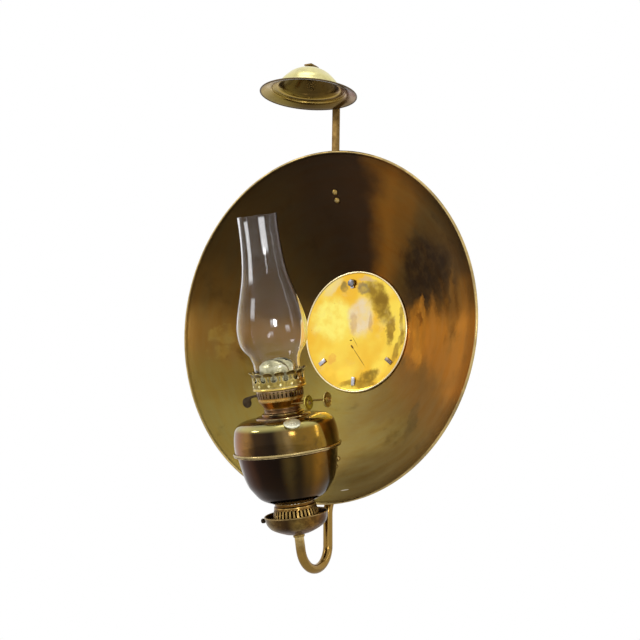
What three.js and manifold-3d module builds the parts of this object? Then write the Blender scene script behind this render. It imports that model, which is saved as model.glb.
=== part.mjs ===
// Kerosene wall lamp: a large conical brass reflector on a wall plate, a round mirror at its
// centre, a smoke bell on a strap above it, and a twin-wick table-style lamp in a cup on a bent
// tube below it. Millimetres, +Z up, the wall is the plane y = 0 and the lamp faces -Y. The origin
// is the middle of the wall plate's back face.
import * as THREE from 'three';
import { mergeVertices } from 'three/addons/utils/BufferGeometryUtils.js';
import Module from 'manifold-3d';

const wasm = await Module();
wasm.setup();

// Clearances
const seatGap = 0.3; // between pieces that rest on each other
const runGap = 0.3; // around a piece that turns or slides
const cutOver = 2; // how far a cutter runs past the wall it cuts
const weldDistance = 0.001; // points closer than this are one
const straightLimit = 1e-6; // a corner flatter than this angle is left out

// Wall plate and its two hanging keyholes
const plateWidth = 44;
const plateHeight = 250;
const plateThickness = 3;
const keyholeInset = 24; // from the plate's end to the round hole's centre
const keyholeRadius = 5.5;
const keySlotRadius = 2.75;
const keySlotLength = 11;
const rivetSpacing = 80;
const rivetRadius = 2.5;
const rivetHeadRadius = 4.6;
const rivetHeadHeight = 1.6;

// Reflector dish
const rimRadius = 255;
const rimBeadRadius = 2;
const dishSheet = 1;
const dishFlatRadius = 75;
const dishSlopeShare = 0.5; // depth gained for each unit of radius
const dishCornerRadius = 16;

// Mirror at the dish's centre
const mirrorLap = 14.4; // the mirror's rim beyond the dish's flat floor
const mirrorRadius = dishFlatRadius + mirrorLap;
const mirrorBeadRadius = 1.5;
const mirrorSheet = 1;
const mirrorBorder = 8;
const mirrorDish = 4; // depth of the mirror's hollow behind its border
const tabThickness = 0.8;
const tabWidth = 5.5;
const tabReach = 12;

// Bell strap and smoke bell
const strapWidth = 12.5;
const strapThickness = 2;
const strapTopOffset = 31.2; // strap's middle behind the rim plane, at the bell's height
const strapFootOffset = 27.6; // and where it meets the dish
const strapBendRadius = 9;
const strapEndLength = 7; // past the bell's middle
const bellRise = 77.2; // from the dish's top edge up to the bell's rim plane
const bellRadius = 69.2;
const bellHeight = 39.2;
const bellSheet = 0.9;
const bellBeadRadius = 1.1;
const bellTilt = THREE.MathUtils.degToRad(7);
const bossRadius = 5;
const bossHeight = 2.2;
const bellBoltRadius = 2;

// Screws that hold the strap and the arm to the dish
const screwRadius = 2;
const screwHeadRadius = 4.5;
const screwHeadHeight = 2.4;
const screwInset = 55.6; // from the dish's edge to the outer screw, seen from the front
const screwPitch = 12.6; // between the two screws, along the slope
const nutRadius = 4.2;
const nutHeight = 2.6;

// Arm: the stay on the dish's back and the bent tube
const stayWidth = 20;
const stayLowShare = 0.91; // the stay's lower end, as a share of the rim's radius
const tubeRadius = 6.75;
const tubeWall = 1.4;
const armTopShare = 0.65; // the tube's upper end, as a share of the rim's radius
const armKneeRadius = 34;
const armBendRadius = 33.7;
const armDrop = 56.6; // from the dish's lower edge down to the bend's centre
const armRise = 23.2; // straight length between the bend and the cup
const lampLean = THREE.MathUtils.degToRad(13);
const ferruleRadius = 8.2;
const ferruleHeight = 4;

// Cup and its thumb screw, in the leaning lamp's own frame from here on
const cupRadius = 45;
const cupHeight = 28.5;
const cupWall = 1.2;
const cupBeadRadius = 1.1;
const cupScrewHeight = 19;
const cupScrewRadius = 1.6;
const cupScrewLength = 19;
const cupKnobRadius = 3.4;
const cupKnobLength = 5;

// Pierced foot
const footRadius = 36;
const footHeight = 33.6;
const footWall = 1;
const footSlots = 28;
const footSlotWidth = 2.6;

// Font: two shells joined at a bead
const fontRadius = 73.2;
const fontBeadRadius = 76;
const fontBeadHeight = 3.4;
const fontWall = 1;
const bowlHeight = 73;
const shoulderHeight = 46.7;
const neckStepHeight = 6.6;
const neckStepRadius = 38.6;
const collarInner = 21.6;
const collarLip = 25.77; // the collar's two raised edges
const collarOuter = 25; // and its middle, which is also the burner's seat
const collarHeight = 6.2;

// Filler neck and cap
const fillerAzimuth = THREE.MathUtils.degToRad(45);
const fillerTilt = THREE.MathUtils.degToRad(25);
const fillerFootShare = 0.852; // height of the filler's foot, as a share of the shoulder's
const fillerOffset = 65.9; // from the lamp's axis to the filler's axis, where it meets the shoulder
const fillerLength = 6;
const fillerRise = 1.6; // of the neck above the shoulder
const fillerRadius = 5.6;
const fillerWall = 1;
const capRadius = 11.8;
const capRimHeight = 1.6;
const capSkirtRadius = 7.4;
const capSkirtHeight = 2.1;
const washerHeight = 0.8;

// Burner body
const coneTopRadius = 29.6;
const coneHeight = 10;
const coneWall = 0.8;
const underTubeLength = 8;
const bandRadius = 33.5;
const bandWall = 0.8;
const bandHeight = 14.5;
const bandSlots = 28;
const bandSlotWidth = 2.6;
const airPlateThickness = 0.8;
const airPlateShare = 0.7; // its height inside the band, as a share of the band's
const airHoleShare = 0.85; // its holes' distance from its middle, as a share of its radius
const airHoles = 10;
const airHoleRadius = 1.6;
const deckThickness = 0.8;

// Wicks, their tubes and the winders
const wickWidth = 26;
const wickThickness = 2;
const wickAbove = 1; // wick standing out of its tube
const wickLength = 170;
const wickTubeWall = 0.6;
const wickTubeLength = 66;
const wickTubeDrop = 2.4; // of the wick tubes' lower ends below the under tube's
const spindleRadius = 1.2;
const spindleOffset = 11; // from the lamp's axis, in front and behind
const spindleHeight = 5; // above the burner's seat
const cogRadius = 2.8;
const cogThickness = 2;
const cogTeeth = 8;
const cogRootShare = 0.72; // the radius between the teeth, as a share of the cog's
const cogSpacing = 14;
const knobRadius = 10.9;
const knobThickness = 2.2;
const frontKnobReach = 52.9; // from the lamp's axis to the knob
const rearKnobReach = 69.6;

// Extinguisher
const leverThickness = 1.6;
const leverPivotReach = 29.5; // from the lamp's axis to the lever's pin
const leverPinRadius = 1.2;
const leverInnerReach = 18; // from the pin to the push rod
const leverArmHeight = 3.4;
const leverDiscReach = 59.1;
const leverDiscRadius = 7.4;
const leverDiscDrop = 9.6; // from the pin down to the thumb disc's centre
const leverPinDrop = 3.6; // from the air plate down to the pin
const sleeveHeight = 12;
const sleeveWall = 0.6;
const sleeveDrop = 4; // sleeve's top below the wick tube's top at rest
const pushRodRadius = 1.2;

// Gallery, dome and chimney
const galleryRadius = 37.4;
const galleryBeadRadius = 1.8;
const galleryPlate = 1.2;
const galleryOpening = 27.6;
const crownRadius = 36;
const crownHeight = 25;
const crownWall = 0.8;
const crownPetals = 14;
const crownGapWidth = 3.4;
const crownFlare = 3.4;
const domeRadius = 24.5;
const domeHeight = 40.5;
const domeWall = 0.8;
const domeLobeOffset = 9;
const domeDrumShare = 0.56; // height of the dome's round drum, below its two lobes
const chimneyFoot = 32.3;
const chimneyBulge = 49.5;
const chimneyHeight = 240;
const chimneyWall = 1.6;

// How finely round pieces are faceted
const dishSides = 44;
const shellSides = 24;
const pipeSides = 12;
const smallSides = 16;
const nutSides = 6;
const capSides = 20;
const knobSides = 20;
const domeSides = 28;
const plateSides = 36;
const tubeStepShare = 1.7; // length of a step along the arm, as a share of the tube's radius
const arcStep = THREE.MathUtils.degToRad(15);

// Finishes
const finish = (color, roughness, metalness, extra = {}) =>
  new THREE.MeshStandardMaterial({ color, roughness, metalness, ...extra });
const agedBrass = finish(0x8a6a2c, 0.35, 1);
const darkBrass = finish(0x5e3d22, 0.3, 1);
const paleBrass = finish(0xcdbb7a, 0.3, 1);
const yellowBrass = finish(0xc29a45, 0.3, 1);
const copperBrass = finish(0x7d4526, 0.35, 1);
const blackenedBrass = finish(0x2e2622, 0.45, 1);
const mirrorGold = finish(0xe8c056, 0.1, 1);
const brightSteel = finish(0xa9a6a4, 0.35, 1);
const clearGlass = finish(0xe8ecf2, 0.05, 0, { transparent: true, opacity: 0.3 });
const cottonWick = finish(0xe4dcc6, 0.95, 0);
const cork = finish(0x9a7a52, 0.9, 0);

// Closed, merged copy of a geometry, with its faces pointing out
function closed(source) {
  const bare = source.index ? source.clone() : source;
  bare.deleteAttribute('normal');
  bare.deleteAttribute('uv');
  const merged = mergeVertices(bare, weldDistance);
  const spots = merged.attributes.position;
  const order = merged.index.array;
  const kept = [];
  let volume = 0;
  const a = new THREE.Vector3();
  const b = new THREE.Vector3();
  const c = new THREE.Vector3();
  for (let i = 0; i < order.length; i += 3) {
    const [p, q, r] = [order[i], order[i + 1], order[i + 2]];
    if (p === q || q === r || r === p) continue;
    kept.push([p, q, r]);
    a.fromBufferAttribute(spots, p);
    b.fromBufferAttribute(spots, q);
    c.fromBufferAttribute(spots, r);
    volume += a.dot(b.cross(c));
  }
  const facing = volume < 0 ? kept.map(([p, q, r]) => [p, r, q]) : kept;
  const solid = new THREE.BufferGeometry();
  solid.setAttribute('position', spots);
  solid.setIndex(facing.flat());
  return solid;
}

function toSolid(geometry) {
  const merged = closed(geometry);
  const mesh = new wasm.Mesh({
    numProp: 3,
    vertProperties: new Float32Array(merged.attributes.position.array),
    triVerts: new Uint32Array(merged.index.array),
  });
  return new wasm.Manifold(mesh);
}

function toGeometry(solid) {
  const mesh = solid.getMesh();
  const geometry = new THREE.BufferGeometry();
  geometry.setAttribute('position', new THREE.BufferAttribute(mesh.vertProperties, 3));
  geometry.setIndex(new THREE.BufferAttribute(mesh.triVerts, 1));
  return geometry;
}

const cutAway = (body, cutters) =>
  toGeometry(cutters.reduce((solid, cutter) => solid.subtract(toSolid(cutter)), toSolid(body)));
const joined = (pieces) =>
  toGeometry(pieces.slice(1).reduce((solid, piece) => solid.add(toSolid(piece)), toSolid(pieces[0])));

// A ring of outline points turned round the Z axis; the outline may start and end on the axis
function turned(outline, sides = shellSides) {
  const onAxis = outline[0][0] === 0 && outline[outline.length - 1][0] === 0;
  const loop = onAxis ? outline : [...outline, outline[0]];
  const points = loop.map(([radius, height]) => new THREE.Vector2(radius, height));
  return new THREE.LatheGeometry(points, sides).rotateX(Math.PI / 2);
}

// The same round the Y axis, for what faces the wall
function turnedToWall(outline, sides = dishSides) {
  return turned(outline, sides).rotateX(-Math.PI / 2);
}

// Points of an arc, both ends included
function arc(x, y, radius, from, to, step = arcStep) {
  const count = Math.max(1, Math.ceil(Math.abs(to - from) / step));
  return Array.from({ length: count + 1 }, (_, i) => {
    const angle = from + (to - from) * i / count;
    return [x + radius * Math.cos(angle), y + radius * Math.sin(angle)];
  });
}

// A path whose corners, given as [x, y, radius], are rounded off
function rounded(corners) {
  return corners.flatMap(([x, y, radius = 0], i) => {
    if (radius === 0 || i === 0 || i === corners.length - 1) return [[x, y]];
    const corner = new THREE.Vector2(x, y);
    const back = new THREE.Vector2(...corners[i - 1].slice(0, 2)).sub(corner).normalize();
    const ahead = new THREE.Vector2(...corners[i + 1].slice(0, 2)).sub(corner).normalize();
    const half = Math.acos(THREE.MathUtils.clamp(back.dot(ahead), -1, 1)) / 2;
    if (Math.PI / 2 - half < straightLimit) return [[x, y]];
    const centre = back.clone().add(ahead).normalize().multiplyScalar(radius / Math.sin(half)).add(corner);
    const start = back.clone().multiplyScalar(radius / Math.tan(half)).add(corner).sub(centre);
    const end = ahead.clone().multiplyScalar(radius / Math.tan(half)).add(corner).sub(centre);
    const from = start.angle();
    const turn = Math.atan2(start.cross(end), start.dot(end));
    return arc(centre.x, centre.y, radius, from, from + turn);
  });
}

// The same path moved sideways, to the left of its direction for a positive distance
function offsetPath(path, distance) {
  return path.map(([x, y], i) => {
    const before = path[Math.max(i - 1, 0)];
    const after = path[Math.min(i + 1, path.length - 1)];
    const entry = i === 0 ? new THREE.Vector2(after[0] - x, after[1] - y)
      : new THREE.Vector2(x - before[0], y - before[1]);
    const exit = i === path.length - 1 ? entry.clone() : new THREE.Vector2(after[0] - x, after[1] - y);
    entry.normalize();
    exit.normalize();
    const along = entry.clone().add(exit).normalize();
    const stretch = distance / along.dot(entry);
    return [x - along.y * stretch, y + along.x * stretch];
  });
}

// A shell's outline: the given outer path and its inner face, one wall to the left of it
function shellOutline(outer, wall) {
  const inner = offsetPath(outer, wall);
  const settle = (points) => points.map(([r, z], i) => {
    const onAxis = outer[i][0] === 0;
    return [onAxis ? 0 : Math.max(r, 0), z];
  });
  return [...outer, ...settle(inner).reverse()];
}

function outlineShape(outline) {
  return new THREE.Shape(outline.map(([x, y]) => new THREE.Vector2(x, y)));
}

// A flat outline in (y, z) given a width along X, centred on the middle plane
function sideways(outline, width) {
  const turn = new THREE.Matrix4().makeBasis(
    new THREE.Vector3(0, 1, 0), new THREE.Vector3(0, 0, 1), new THREE.Vector3(1, 0, 0));
  return new THREE.ExtrudeGeometry(outlineShape(outline), { depth: width, bevelEnabled: false })
    .translate(0, 0, -width / 2)
    .applyMatrix4(turn);
}

// A bent strip: a path in (y, z), a thickness across it and a width along X
function strip(path, thickness, width) {
  const outline = [...offsetPath(path, thickness / 2), ...offsetPath(path, -thickness / 2).reverse()];
  return sideways(outline, width);
}

const block = (x, y, z, at = [0, 0, 0]) => new THREE.BoxGeometry(x, y, z).translate(...at);

// A round bar between two points
function bar(from, to, radius, sides = smallSides) {
  const start = new THREE.Vector3(...from);
  const end = new THREE.Vector3(...to);
  const way = end.clone().sub(start);
  const upright = new THREE.Vector3(0, 1, 0);
  const spin = new THREE.Quaternion().setFromUnitVectors(upright, way.clone().normalize());
  return new THREE.CylinderGeometry(radius, radius, way.length(), sides)
    .applyQuaternion(spin)
    .translate(...start.add(end).multiplyScalar(1 / 2).toArray());
}

// One copy of a cutter for each place round the Z axis
function around(count, cutter, firstShare = 0) {
  return Array.from({ length: count }, (_, i) =>
    cutter.clone().rotateZ((i + firstShare) / count * 2 * Math.PI));
}

function piece(name, geometry, material) {
  const shown = closed(geometry).toNonIndexed();
  shown.computeVertexNormals();
  const mesh = new THREE.Mesh(shown, material.clone());
  mesh.name = name;
  return mesh;
}

// The height of a path at one radius, by straight lines between its points
function heightAt(path, radius) {
  const i = path.findIndex(([r], n) => n > 0 && r >= radius);
  const [[r0, z0], [r1, z1]] = [path[i - 1], path[i]];
  return z0 + (z1 - z0) * (radius - r0) / (r1 - r0);
}

const scaled = (shares, radius, height, base = 0) =>
  shares.map(([r, z]) => [r * radius, base + z * height]);

// Levels behind one another, from the wall forward
const plateFront = -plateThickness;
const strapBack = plateFront - seatGap;
const dishBack = strapBack - strapThickness - seatGap;
const dishFloor = dishBack - dishSheet;
const dishDepth = dishSlopeShare * (rimRadius - dishFlatRadius);
const rimPlane = dishFloor - dishDepth;
const slope = Math.atan(dishSlopeShare);
const slopeStretch = 1 / Math.cos(slope);
const dishFace = (radius) => rimPlane + dishSlopeShare * (rimRadius - radius);

// A point on the dish's slope: radius on its front face, and how far behind that face it is
const onSlope = (radius, behind, side = 1) => [
  0,
  dishFace(radius) + behind * Math.cos(slope),
  side * (radius + behind * Math.sin(slope)),
];

const screwRadii = [0, 1].map((n) => rimRadius - screwInset - n * screwPitch * Math.cos(slope));
const screwCutters = (side) => screwRadii.map((radius) =>
  bar(onSlope(radius, -screwHeadHeight, side), onSlope(radius, 4 * tubeRadius, side), screwRadius + runGap));

function wallPlate() {
  const plate = block(plateWidth, plateThickness, plateHeight, [0, plateFront / 2, 0]);
  const through = [plateFront - cutOver, cutOver];
  const keyholes = [1, -1].flatMap((side) => {
    const hole = side > 0 ? plateHeight / 2 - keyholeInset - keySlotLength : -plateHeight / 2 + keyholeInset;
    return [
      bar([0, through[0], hole], [0, through[1], hole], keyholeRadius),
      bar([0, through[0], hole + keySlotLength], [0, through[1], hole + keySlotLength], keySlotRadius),
      block(2 * keySlotRadius, through[1] - through[0], keySlotLength,
        [0, (through[0] + through[1]) / 2, hole + keySlotLength / 2]),
    ];
  });
  const rivetHoles = [1, -1].map((side) =>
    bar([0, through[0], side * rivetSpacing / 2], [0, through[1], side * rivetSpacing / 2],
      rivetRadius + seatGap));
  return piece('wall_plate', cutAway(plate, [...keyholes, ...rivetHoles]), agedBrass);
}

// A rivet's head, from its foot to its top, as shares of its radius and height
const rivetHeadShares = [[1, 0], [0.8, 0.7], [0, 1]];

function plateRivet(name, side) {
  const headFoot = dishFloor - seatGap;
  const outline = [
    [0, -seatGap],
    [rivetRadius, -seatGap],
    [rivetRadius, headFoot],
    ...scaled(rivetHeadShares, rivetHeadRadius, -rivetHeadHeight, headFoot),
  ];
  const rivet = turnedToWall(outline, smallSides).translate(0, 0, side * rivetSpacing / 2);
  return piece(name, rivet, agedBrass);
}

function reflectorDish() {
  const beadCentre = rimRadius - rimBeadRadius;
  const front = rounded([
    [0, dishFloor],
    [dishFlatRadius, dishFloor, dishCornerRadius],
    [beadCentre - 2 * rimBeadRadius, dishFace(beadCentre - 2 * rimBeadRadius)],
  ]);
  const back = offsetPath(front, dishSheet).map(([r, y], i) => [i === 0 ? 0 : r, y]);
  const bead = arc(beadCentre, rimPlane, rimBeadRadius, -Math.PI * 0.9, Math.PI * 0.6, arcStep * 4);
  const outline = [...front, ...bead, ...back.reverse()];
  const rivetHoles = [1, -1].map((side) =>
    bar([0, dishFloor - cutOver, side * rivetSpacing / 2], [0, dishBack + cutOver, side * rivetSpacing / 2],
      rivetRadius + seatGap));
  const holes = [...rivetHoles, ...screwCutters(1), ...screwCutters(-1)];
  return piece('reflector_dish', cutAway(turnedToWall(outline), holes), agedBrass);
}

// Mirror, sitting on the slope by its bead
const mirrorBeadCentre = mirrorRadius - mirrorBeadRadius;
const mirrorPlane = dishFace(mirrorBeadCentre) - (mirrorBeadRadius + seatGap) * slopeStretch;

// The mirror's hollow, from its middle out to its border, as shares of radius and depth
const mirrorShares = [[0, 1], [0.6, 0.8], [1, 0.1]];

// Where the four tabs stand: clock angle from +X, radius of the leg, and which way the end folds
const tabs = [
  { name: 'mirror_tab_top', clock: 95, legShare: 0.86, fold: -1 },
  { name: 'mirror_tab_bottom', clock: 266, legShare: 0.88, fold: -1 },
  { name: 'mirror_tab_left', clock: 215, legShare: 0.88, fold: -1 },
  { name: 'mirror_tab_right', clock: 321, legShare: 0.88, fold: -1 },
];

function mirrorDisc() {
  const border = mirrorRadius - mirrorBorder;
  const front = [
    ...scaled(mirrorShares, border, mirrorDish, mirrorPlane),
    [mirrorBeadCentre - mirrorBeadRadius, mirrorPlane],
  ];
  const back = offsetPath(front, mirrorSheet).map(([r, y], i) => [i === 0 ? 0 : r, y]);
  const bead = arc(mirrorBeadCentre, mirrorPlane, mirrorBeadRadius, -Math.PI * 0.85, Math.PI * 0.55,
    arcStep * 4);
  const slits = tabs.map(({ clock, legShare }) =>
    block(tabThickness + 2 * seatGap, mirrorDish + mirrorSheet + 2 * cutOver, tabWidth + 2 * seatGap,
      [legShare * mirrorRadius, mirrorPlane + mirrorDish / 2, 0])
      .rotateY(-THREE.MathUtils.degToRad(clock)));
  const disc = turnedToWall([...front, ...bead, ...back.reverse()], shellSides);
  return piece('mirror_disc', cutAway(disc, slits), mirrorGold);
}

function mirrorTab({ name, clock, legShare, fold }) {
  const leg = legShare * mirrorRadius;
  const backEnd = Math.min(dishFloor, dishFace(leg + tabThickness)) - seatGap * slopeStretch;
  const over = mirrorPlane - seatGap - tabThickness / 2;
  const path = [
    [leg, backEnd],
    [leg, over],
    [leg + fold * tabReach, over],
  ];
  const outline = [...offsetPath(path, tabThickness / 2), ...offsetPath(path, -tabThickness / 2).reverse()];
  const tab = new THREE.ExtrudeGeometry(outlineShape(outline), { depth: tabWidth, bevelEnabled: false })
    .translate(0, 0, -tabWidth / 2)
    .rotateY(-THREE.MathUtils.degToRad(clock));
  return piece(name, tab, brightSteel);
}

// Bell frame: its rim plane tilts so that the front edge stands higher
const strapTop = rimPlane + strapTopOffset;
const bellZ = rimRadius + bellRise;
const bellY = strapTop - strapThickness / 2 - seatGap - (bellRadius + bellBeadRadius) * Math.cos(bellTilt);
const inBell = (reach, height) => [
  bellY + reach * Math.cos(bellTilt) + height * Math.sin(bellTilt),
  bellZ - reach * Math.sin(bellTilt) + height * Math.cos(bellTilt),
];

// The bell's outer face, from its rim up to its top, as shares of its radius and height
const bellShares = [
  [0.985, 0.012], [0.86, 0.06], [0.775, 0.12], [0.745, 0.22], [0.68, 0.26],
  [0.66, 0.4], [0.587, 0.548], [0.45, 0.76], [0.267, 0.918], [0.09, 1], [0, 1],
];

function smokeBell() {
  const outer = scaled(bellShares, bellRadius, bellHeight);
  const bead = arc(bellRadius, 0, bellBeadRadius, -Math.PI * 0.75, Math.PI * 0.7, arcStep * 6);
  const outline = [...bead, ...shellOutline(outer, bellSheet)];
  const hole = bar([0, 0, bellHeight / 2], [0, 0, bellHeight + cutOver], bellBoltRadius + seatGap);
  return piece('smoke_bell', cutAway(turned(outline), [hole]), paleBrass);
}

// Boss over the bell and the bolt's head under it, as shares of the boss's radius and height
const bossShares = [[1, 0], [1, 0.6], [0.85, 1]];
const boltHeadShares = [[0, 1], [0.8, 0.7], [0.8, 0]];

function bellBoss() {
  const low = bellHeight + seatGap;
  const outline = [
    [bellBoltRadius + seatGap, low],
    ...scaled(bossShares, bossRadius, bossHeight, low),
    [bellBoltRadius + seatGap, low + bossHeight],
  ];
  return piece('bell_boss', turned(outline, smallSides), paleBrass);
}

const strapOverBell = bellHeight + bossHeight + 2 * seatGap; // underside of the strap over the bell

function bellBolt() {
  const headFoot = bellHeight - bellSheet - seatGap;
  const top = strapOverBell + strapThickness;
  const outline = [
    ...scaled(boltHeadShares, bossRadius, -bossHeight, headFoot),
    [bellBoltRadius, headFoot],
    [bellBoltRadius, top],
    [0, top],
  ];
  return piece('bell_bolt', turned(outline, smallSides), paleBrass);
}

// Corners of the strap behind and over the bell, as shares of its radius and height
const strapOverShares = [[0.74, 0.42], [0.459, 0.9]];
const strapLevelShare = 0.148; // where it comes level with the bell's top

function bellStrap() {
  const behind = dishSheet + seatGap + strapThickness / 2;
  const slopeLine = (z) => dishFace(z) + behind * slopeStretch;
  const flat = strapBack - strapThickness / 2;
  const flatCorner = dishFlatRadius + (dishFloor + behind * slopeStretch - flat) / dishSlopeShare;
  const lean = (strapTopOffset - strapFootOffset) / (bellRise + screwInset);
  const knee = (dishFace(0) + behind * slopeStretch - rimPlane - strapTopOffset + lean * bellZ)
    / (dishSlopeShare + lean);
  const over = strapOverBell + strapThickness / 2;
  const corners = [
    [flat, rivetSpacing / 2 - 2 * rivetHeadRadius],
    [flat, flatCorner, dishCornerRadius],
    [slopeLine(knee), knee, strapBendRadius],
    [strapTop, bellZ - bellRadius * Math.sin(bellTilt) + bellBeadRadius * 3, strapBendRadius / 2],
    ...scaled(strapOverShares, bellRadius, bellHeight).map(([reach, height], i) =>
      [...inBell(reach, height), strapBendRadius * (i + 1)]),
    [...inBell(strapLevelShare * bellRadius, over), strapBendRadius],
    inBell(-strapEndLength, over),
  ];
  const strap = strip(rounded(corners), strapThickness, strapWidth);
  const boltHole = bar([0, ...inBell(0, bellHeight)], [0, ...inBell(0, over + 2 * cutOver)],
    bellBoltRadius + seatGap);
  const rivetHole = bar([0, dishBack - cutOver, rivetSpacing / 2], [0, cutOver, rivetSpacing / 2],
    rivetRadius + seatGap);
  return piece('bell_strap', cutAway(strap, [...screwCutters(1), boltHole, rivetHole]), agedBrass);
}

// A screw's head, from its top down to its foot, as shares of its radius and height
const screwHeadShares = [[0, 1], [0.6, 0.85], [0.95, 0.4], [1, 0]];

// A round-head screw through the dish's slope; depth is what it clamps behind the front face
function slopeScrew(name, radius, side, depth) {
  const end = depth + nutHeight + 2 * seatGap;
  const outline = [
    ...scaled(screwHeadShares, screwHeadRadius, -screwHeadHeight, -seatGap),
    [screwRadius, -seatGap],
    [screwRadius, end],
    [0, end],
  ];
  return piece(name, seatedOnSlope(turned(outline, smallSides), radius, side), yellowBrass);
}

function slopeNut(name, radius, side, depth) {
  const low = depth + seatGap;
  const bore = (screwRadius + runGap) / Math.cos(Math.PI / nutSides); // clear across the flats
  const outline = [
    [bore, low],
    [nutRadius, low],
    [nutRadius, low + nutHeight],
    [bore, low + nutHeight],
  ];
  return piece(name, seatedOnSlope(turned(outline, nutSides), radius, side), yellowBrass);
}

// Stands a piece, made along +Z, square on the dish's slope, with +Z pointing back through it
function seatedOnSlope(geometry, radius, side) {
  const [x, y, z] = onSlope(radius, 0, side);
  return geometry.rotateX(side * slope - Math.PI / 2).translate(x, y, z);
}

function armStay() {
  const behind = dishSheet + seatGap + strapThickness / 2;
  const slopeLine = (z) => dishFace(z) + behind * slopeStretch;
  const flat = strapBack - strapThickness / 2;
  const flatCorner = dishFlatRadius + (dishFloor + behind * slopeStretch - flat) / dishSlopeShare;
  const end = rimRadius * stayLowShare;
  const corners = [
    [flat, -rivetSpacing / 2 + 2 * rivetHeadRadius],
    [flat, -flatCorner, dishCornerRadius],
    [slopeLine(end), -end],
  ];
  const rivetHole = bar([0, dishBack - cutOver, -rivetSpacing / 2], [0, cutOver, -rivetSpacing / 2],
    rivetRadius + seatGap);
  const stay = strip(rounded(corners), strapThickness, stayWidth);
  return piece('arm_stay', cutAway(stay, [...screwCutters(-1), rivetHole]), agedBrass);
}

// Arc in the middle plane for the arm's route
class BendCurve extends THREE.Curve {
  constructor(y, z, radius, from, to) {
    super();
    Object.assign(this, { y, z, radius, from, to });
  }

  getPoint(t, target = new THREE.Vector3()) {
    const angle = this.from + (this.to - this.from) * t;
    return target.set(0, this.y + this.radius * Math.cos(angle), this.z + this.radius * Math.sin(angle));
  }
}

// Arm route: down the dish's back, a knee, down behind the rim, round the bend and up to the cup
const tubeBehind = dishSheet + seatGap + strapThickness + seatGap + tubeRadius;
const legY = rimPlane + rimBeadRadius + seatGap + tubeRadius;
const kneeZ = -(rimRadius + (tubeBehind * slopeStretch - (legY - rimPlane)) / dishSlopeShare);
const kneeTangent = armKneeRadius * Math.tan(slope / 2);
const bendZ = -(rimRadius + armDrop);
const bendY = legY - armBendRadius;
const bendEnd = [
  bendY - armBendRadius * Math.cos(lampLean),
  bendZ - armBendRadius * Math.sin(lampLean),
];
const lampOrigin = [
  bendEnd[0] - armRise * Math.sin(lampLean),
  bendEnd[1] + armRise * Math.cos(lampLean),
];

function armTube() {
  const top = onSlope(rimRadius * armTopShare, tubeBehind, -1);
  const kneeStart = [0, legY + kneeTangent * Math.sin(slope), kneeZ + kneeTangent * Math.cos(slope)];
  const route = new THREE.CurvePath();
  const line = (from, to) =>
    route.add(new THREE.LineCurve3(new THREE.Vector3(...from), new THREE.Vector3(...to)));
  const cupEnd = lampPoint(0, 0, cupWall + seatGap);
  line(top, kneeStart);
  route.add(new BendCurve(legY + armKneeRadius, kneeZ - kneeTangent, armKneeRadius,
    Math.PI - slope, Math.PI));
  line([0, legY, kneeZ - kneeTangent], [0, legY, bendZ]);
  route.add(new BendCurve(bendY, bendZ, armBendRadius, 0, -Math.PI + lampLean));
  line([0, ...bendEnd], cupEnd);
  const ring = (radius) => Array.from({ length: pipeSides }, (_, i) => {
    const angle = i / pipeSides * 2 * Math.PI;
    return new THREE.Vector2(radius * Math.cos(angle), radius * Math.sin(angle));
  });
  const section = new THREE.Shape(ring(tubeRadius));
  section.holes.push(new THREE.Path(ring(tubeRadius - tubeWall)));
  const steps = Math.round(route.getLength() / (tubeRadius * tubeStepShare));
  const tube = new THREE.ExtrudeGeometry(section, { steps, extrudePath: route });
  return piece('arm_tube', cutAway(tube, screwCutters(-1)), agedBrass);
}

// A point of the leaning lamp's frame, in the part's frame
function lampPoint(x, y, z) {
  return [
    x,
    lampOrigin[0] + y * Math.cos(lampLean) - z * Math.sin(lampLean),
    lampOrigin[1] + y * Math.sin(lampLean) + z * Math.cos(lampLean),
  ];
}

// The ferrule's outside, from its lower edge up, as shares of its radius and height
const ferruleShares = [[0.94, 1], [1, 0.6], [1, 0]];

function armFerrule() {
  const top = -seatGap;
  const outline = [
    [tubeRadius + seatGap, top - ferruleHeight],
    ...scaled(ferruleShares, ferruleRadius, -ferruleHeight, top),
    [tubeRadius + seatGap, top],
  ];
  return piece('arm_ferrule', turned(outline, smallSides), yellowBrass);
}

// Cup, as shares of its rim radius and height
const cupShares = [
  [0.42, 0.07], [0.72, 0.28], [0.86, 0.44], [0.95, 0.68],
];
const cupOuter = [
  [tubeRadius + seatGap, 0],
  ...scaled(cupShares, cupRadius, cupHeight),
  [cupRadius - cupBeadRadius, cupHeight - cupBeadRadius],
];
const cupInner = offsetPath(cupOuter, cupWall);

function lampCup() {
  const bead = arc(cupRadius - cupBeadRadius, cupHeight, cupBeadRadius, -Math.PI * 0.4, Math.PI * 0.95,
    arcStep * 5);
  const outline = [...cupOuter, ...bead, ...[...cupInner].reverse()];
  const hole = bar([-cupRadius / 2, 0, cupScrewHeight], [-cupRadius - cutOver, 0, cupScrewHeight],
    cupScrewRadius + runGap);
  return piece('lamp_cup', cutAway(turned(outline), [hole]), darkBrass);
}

// The thumb screw's knob, from its inner face out, as shares of its radius and length
const cupKnobShares = [[0.8, 0], [1, 0.25], [1, 0.75], [0.7, 1], [0, 1]];
const cupScrewTip = footRadius + 2 * seatGap;

function cupScrew() {
  const knobStart = cupScrewTip + cupScrewLength;
  const outline = [
    [0, cupScrewTip],
    [cupScrewRadius, cupScrewTip],
    [cupScrewRadius, knobStart],
    ...scaled(cupKnobShares, cupKnobRadius, cupKnobLength, knobStart),
  ];
  const screw = turned(outline, pipeSides).rotateY(-Math.PI / 2).translate(0, 0, cupScrewHeight);
  return piece('cup_screw', screw, blackenedBrass);
}

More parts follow.
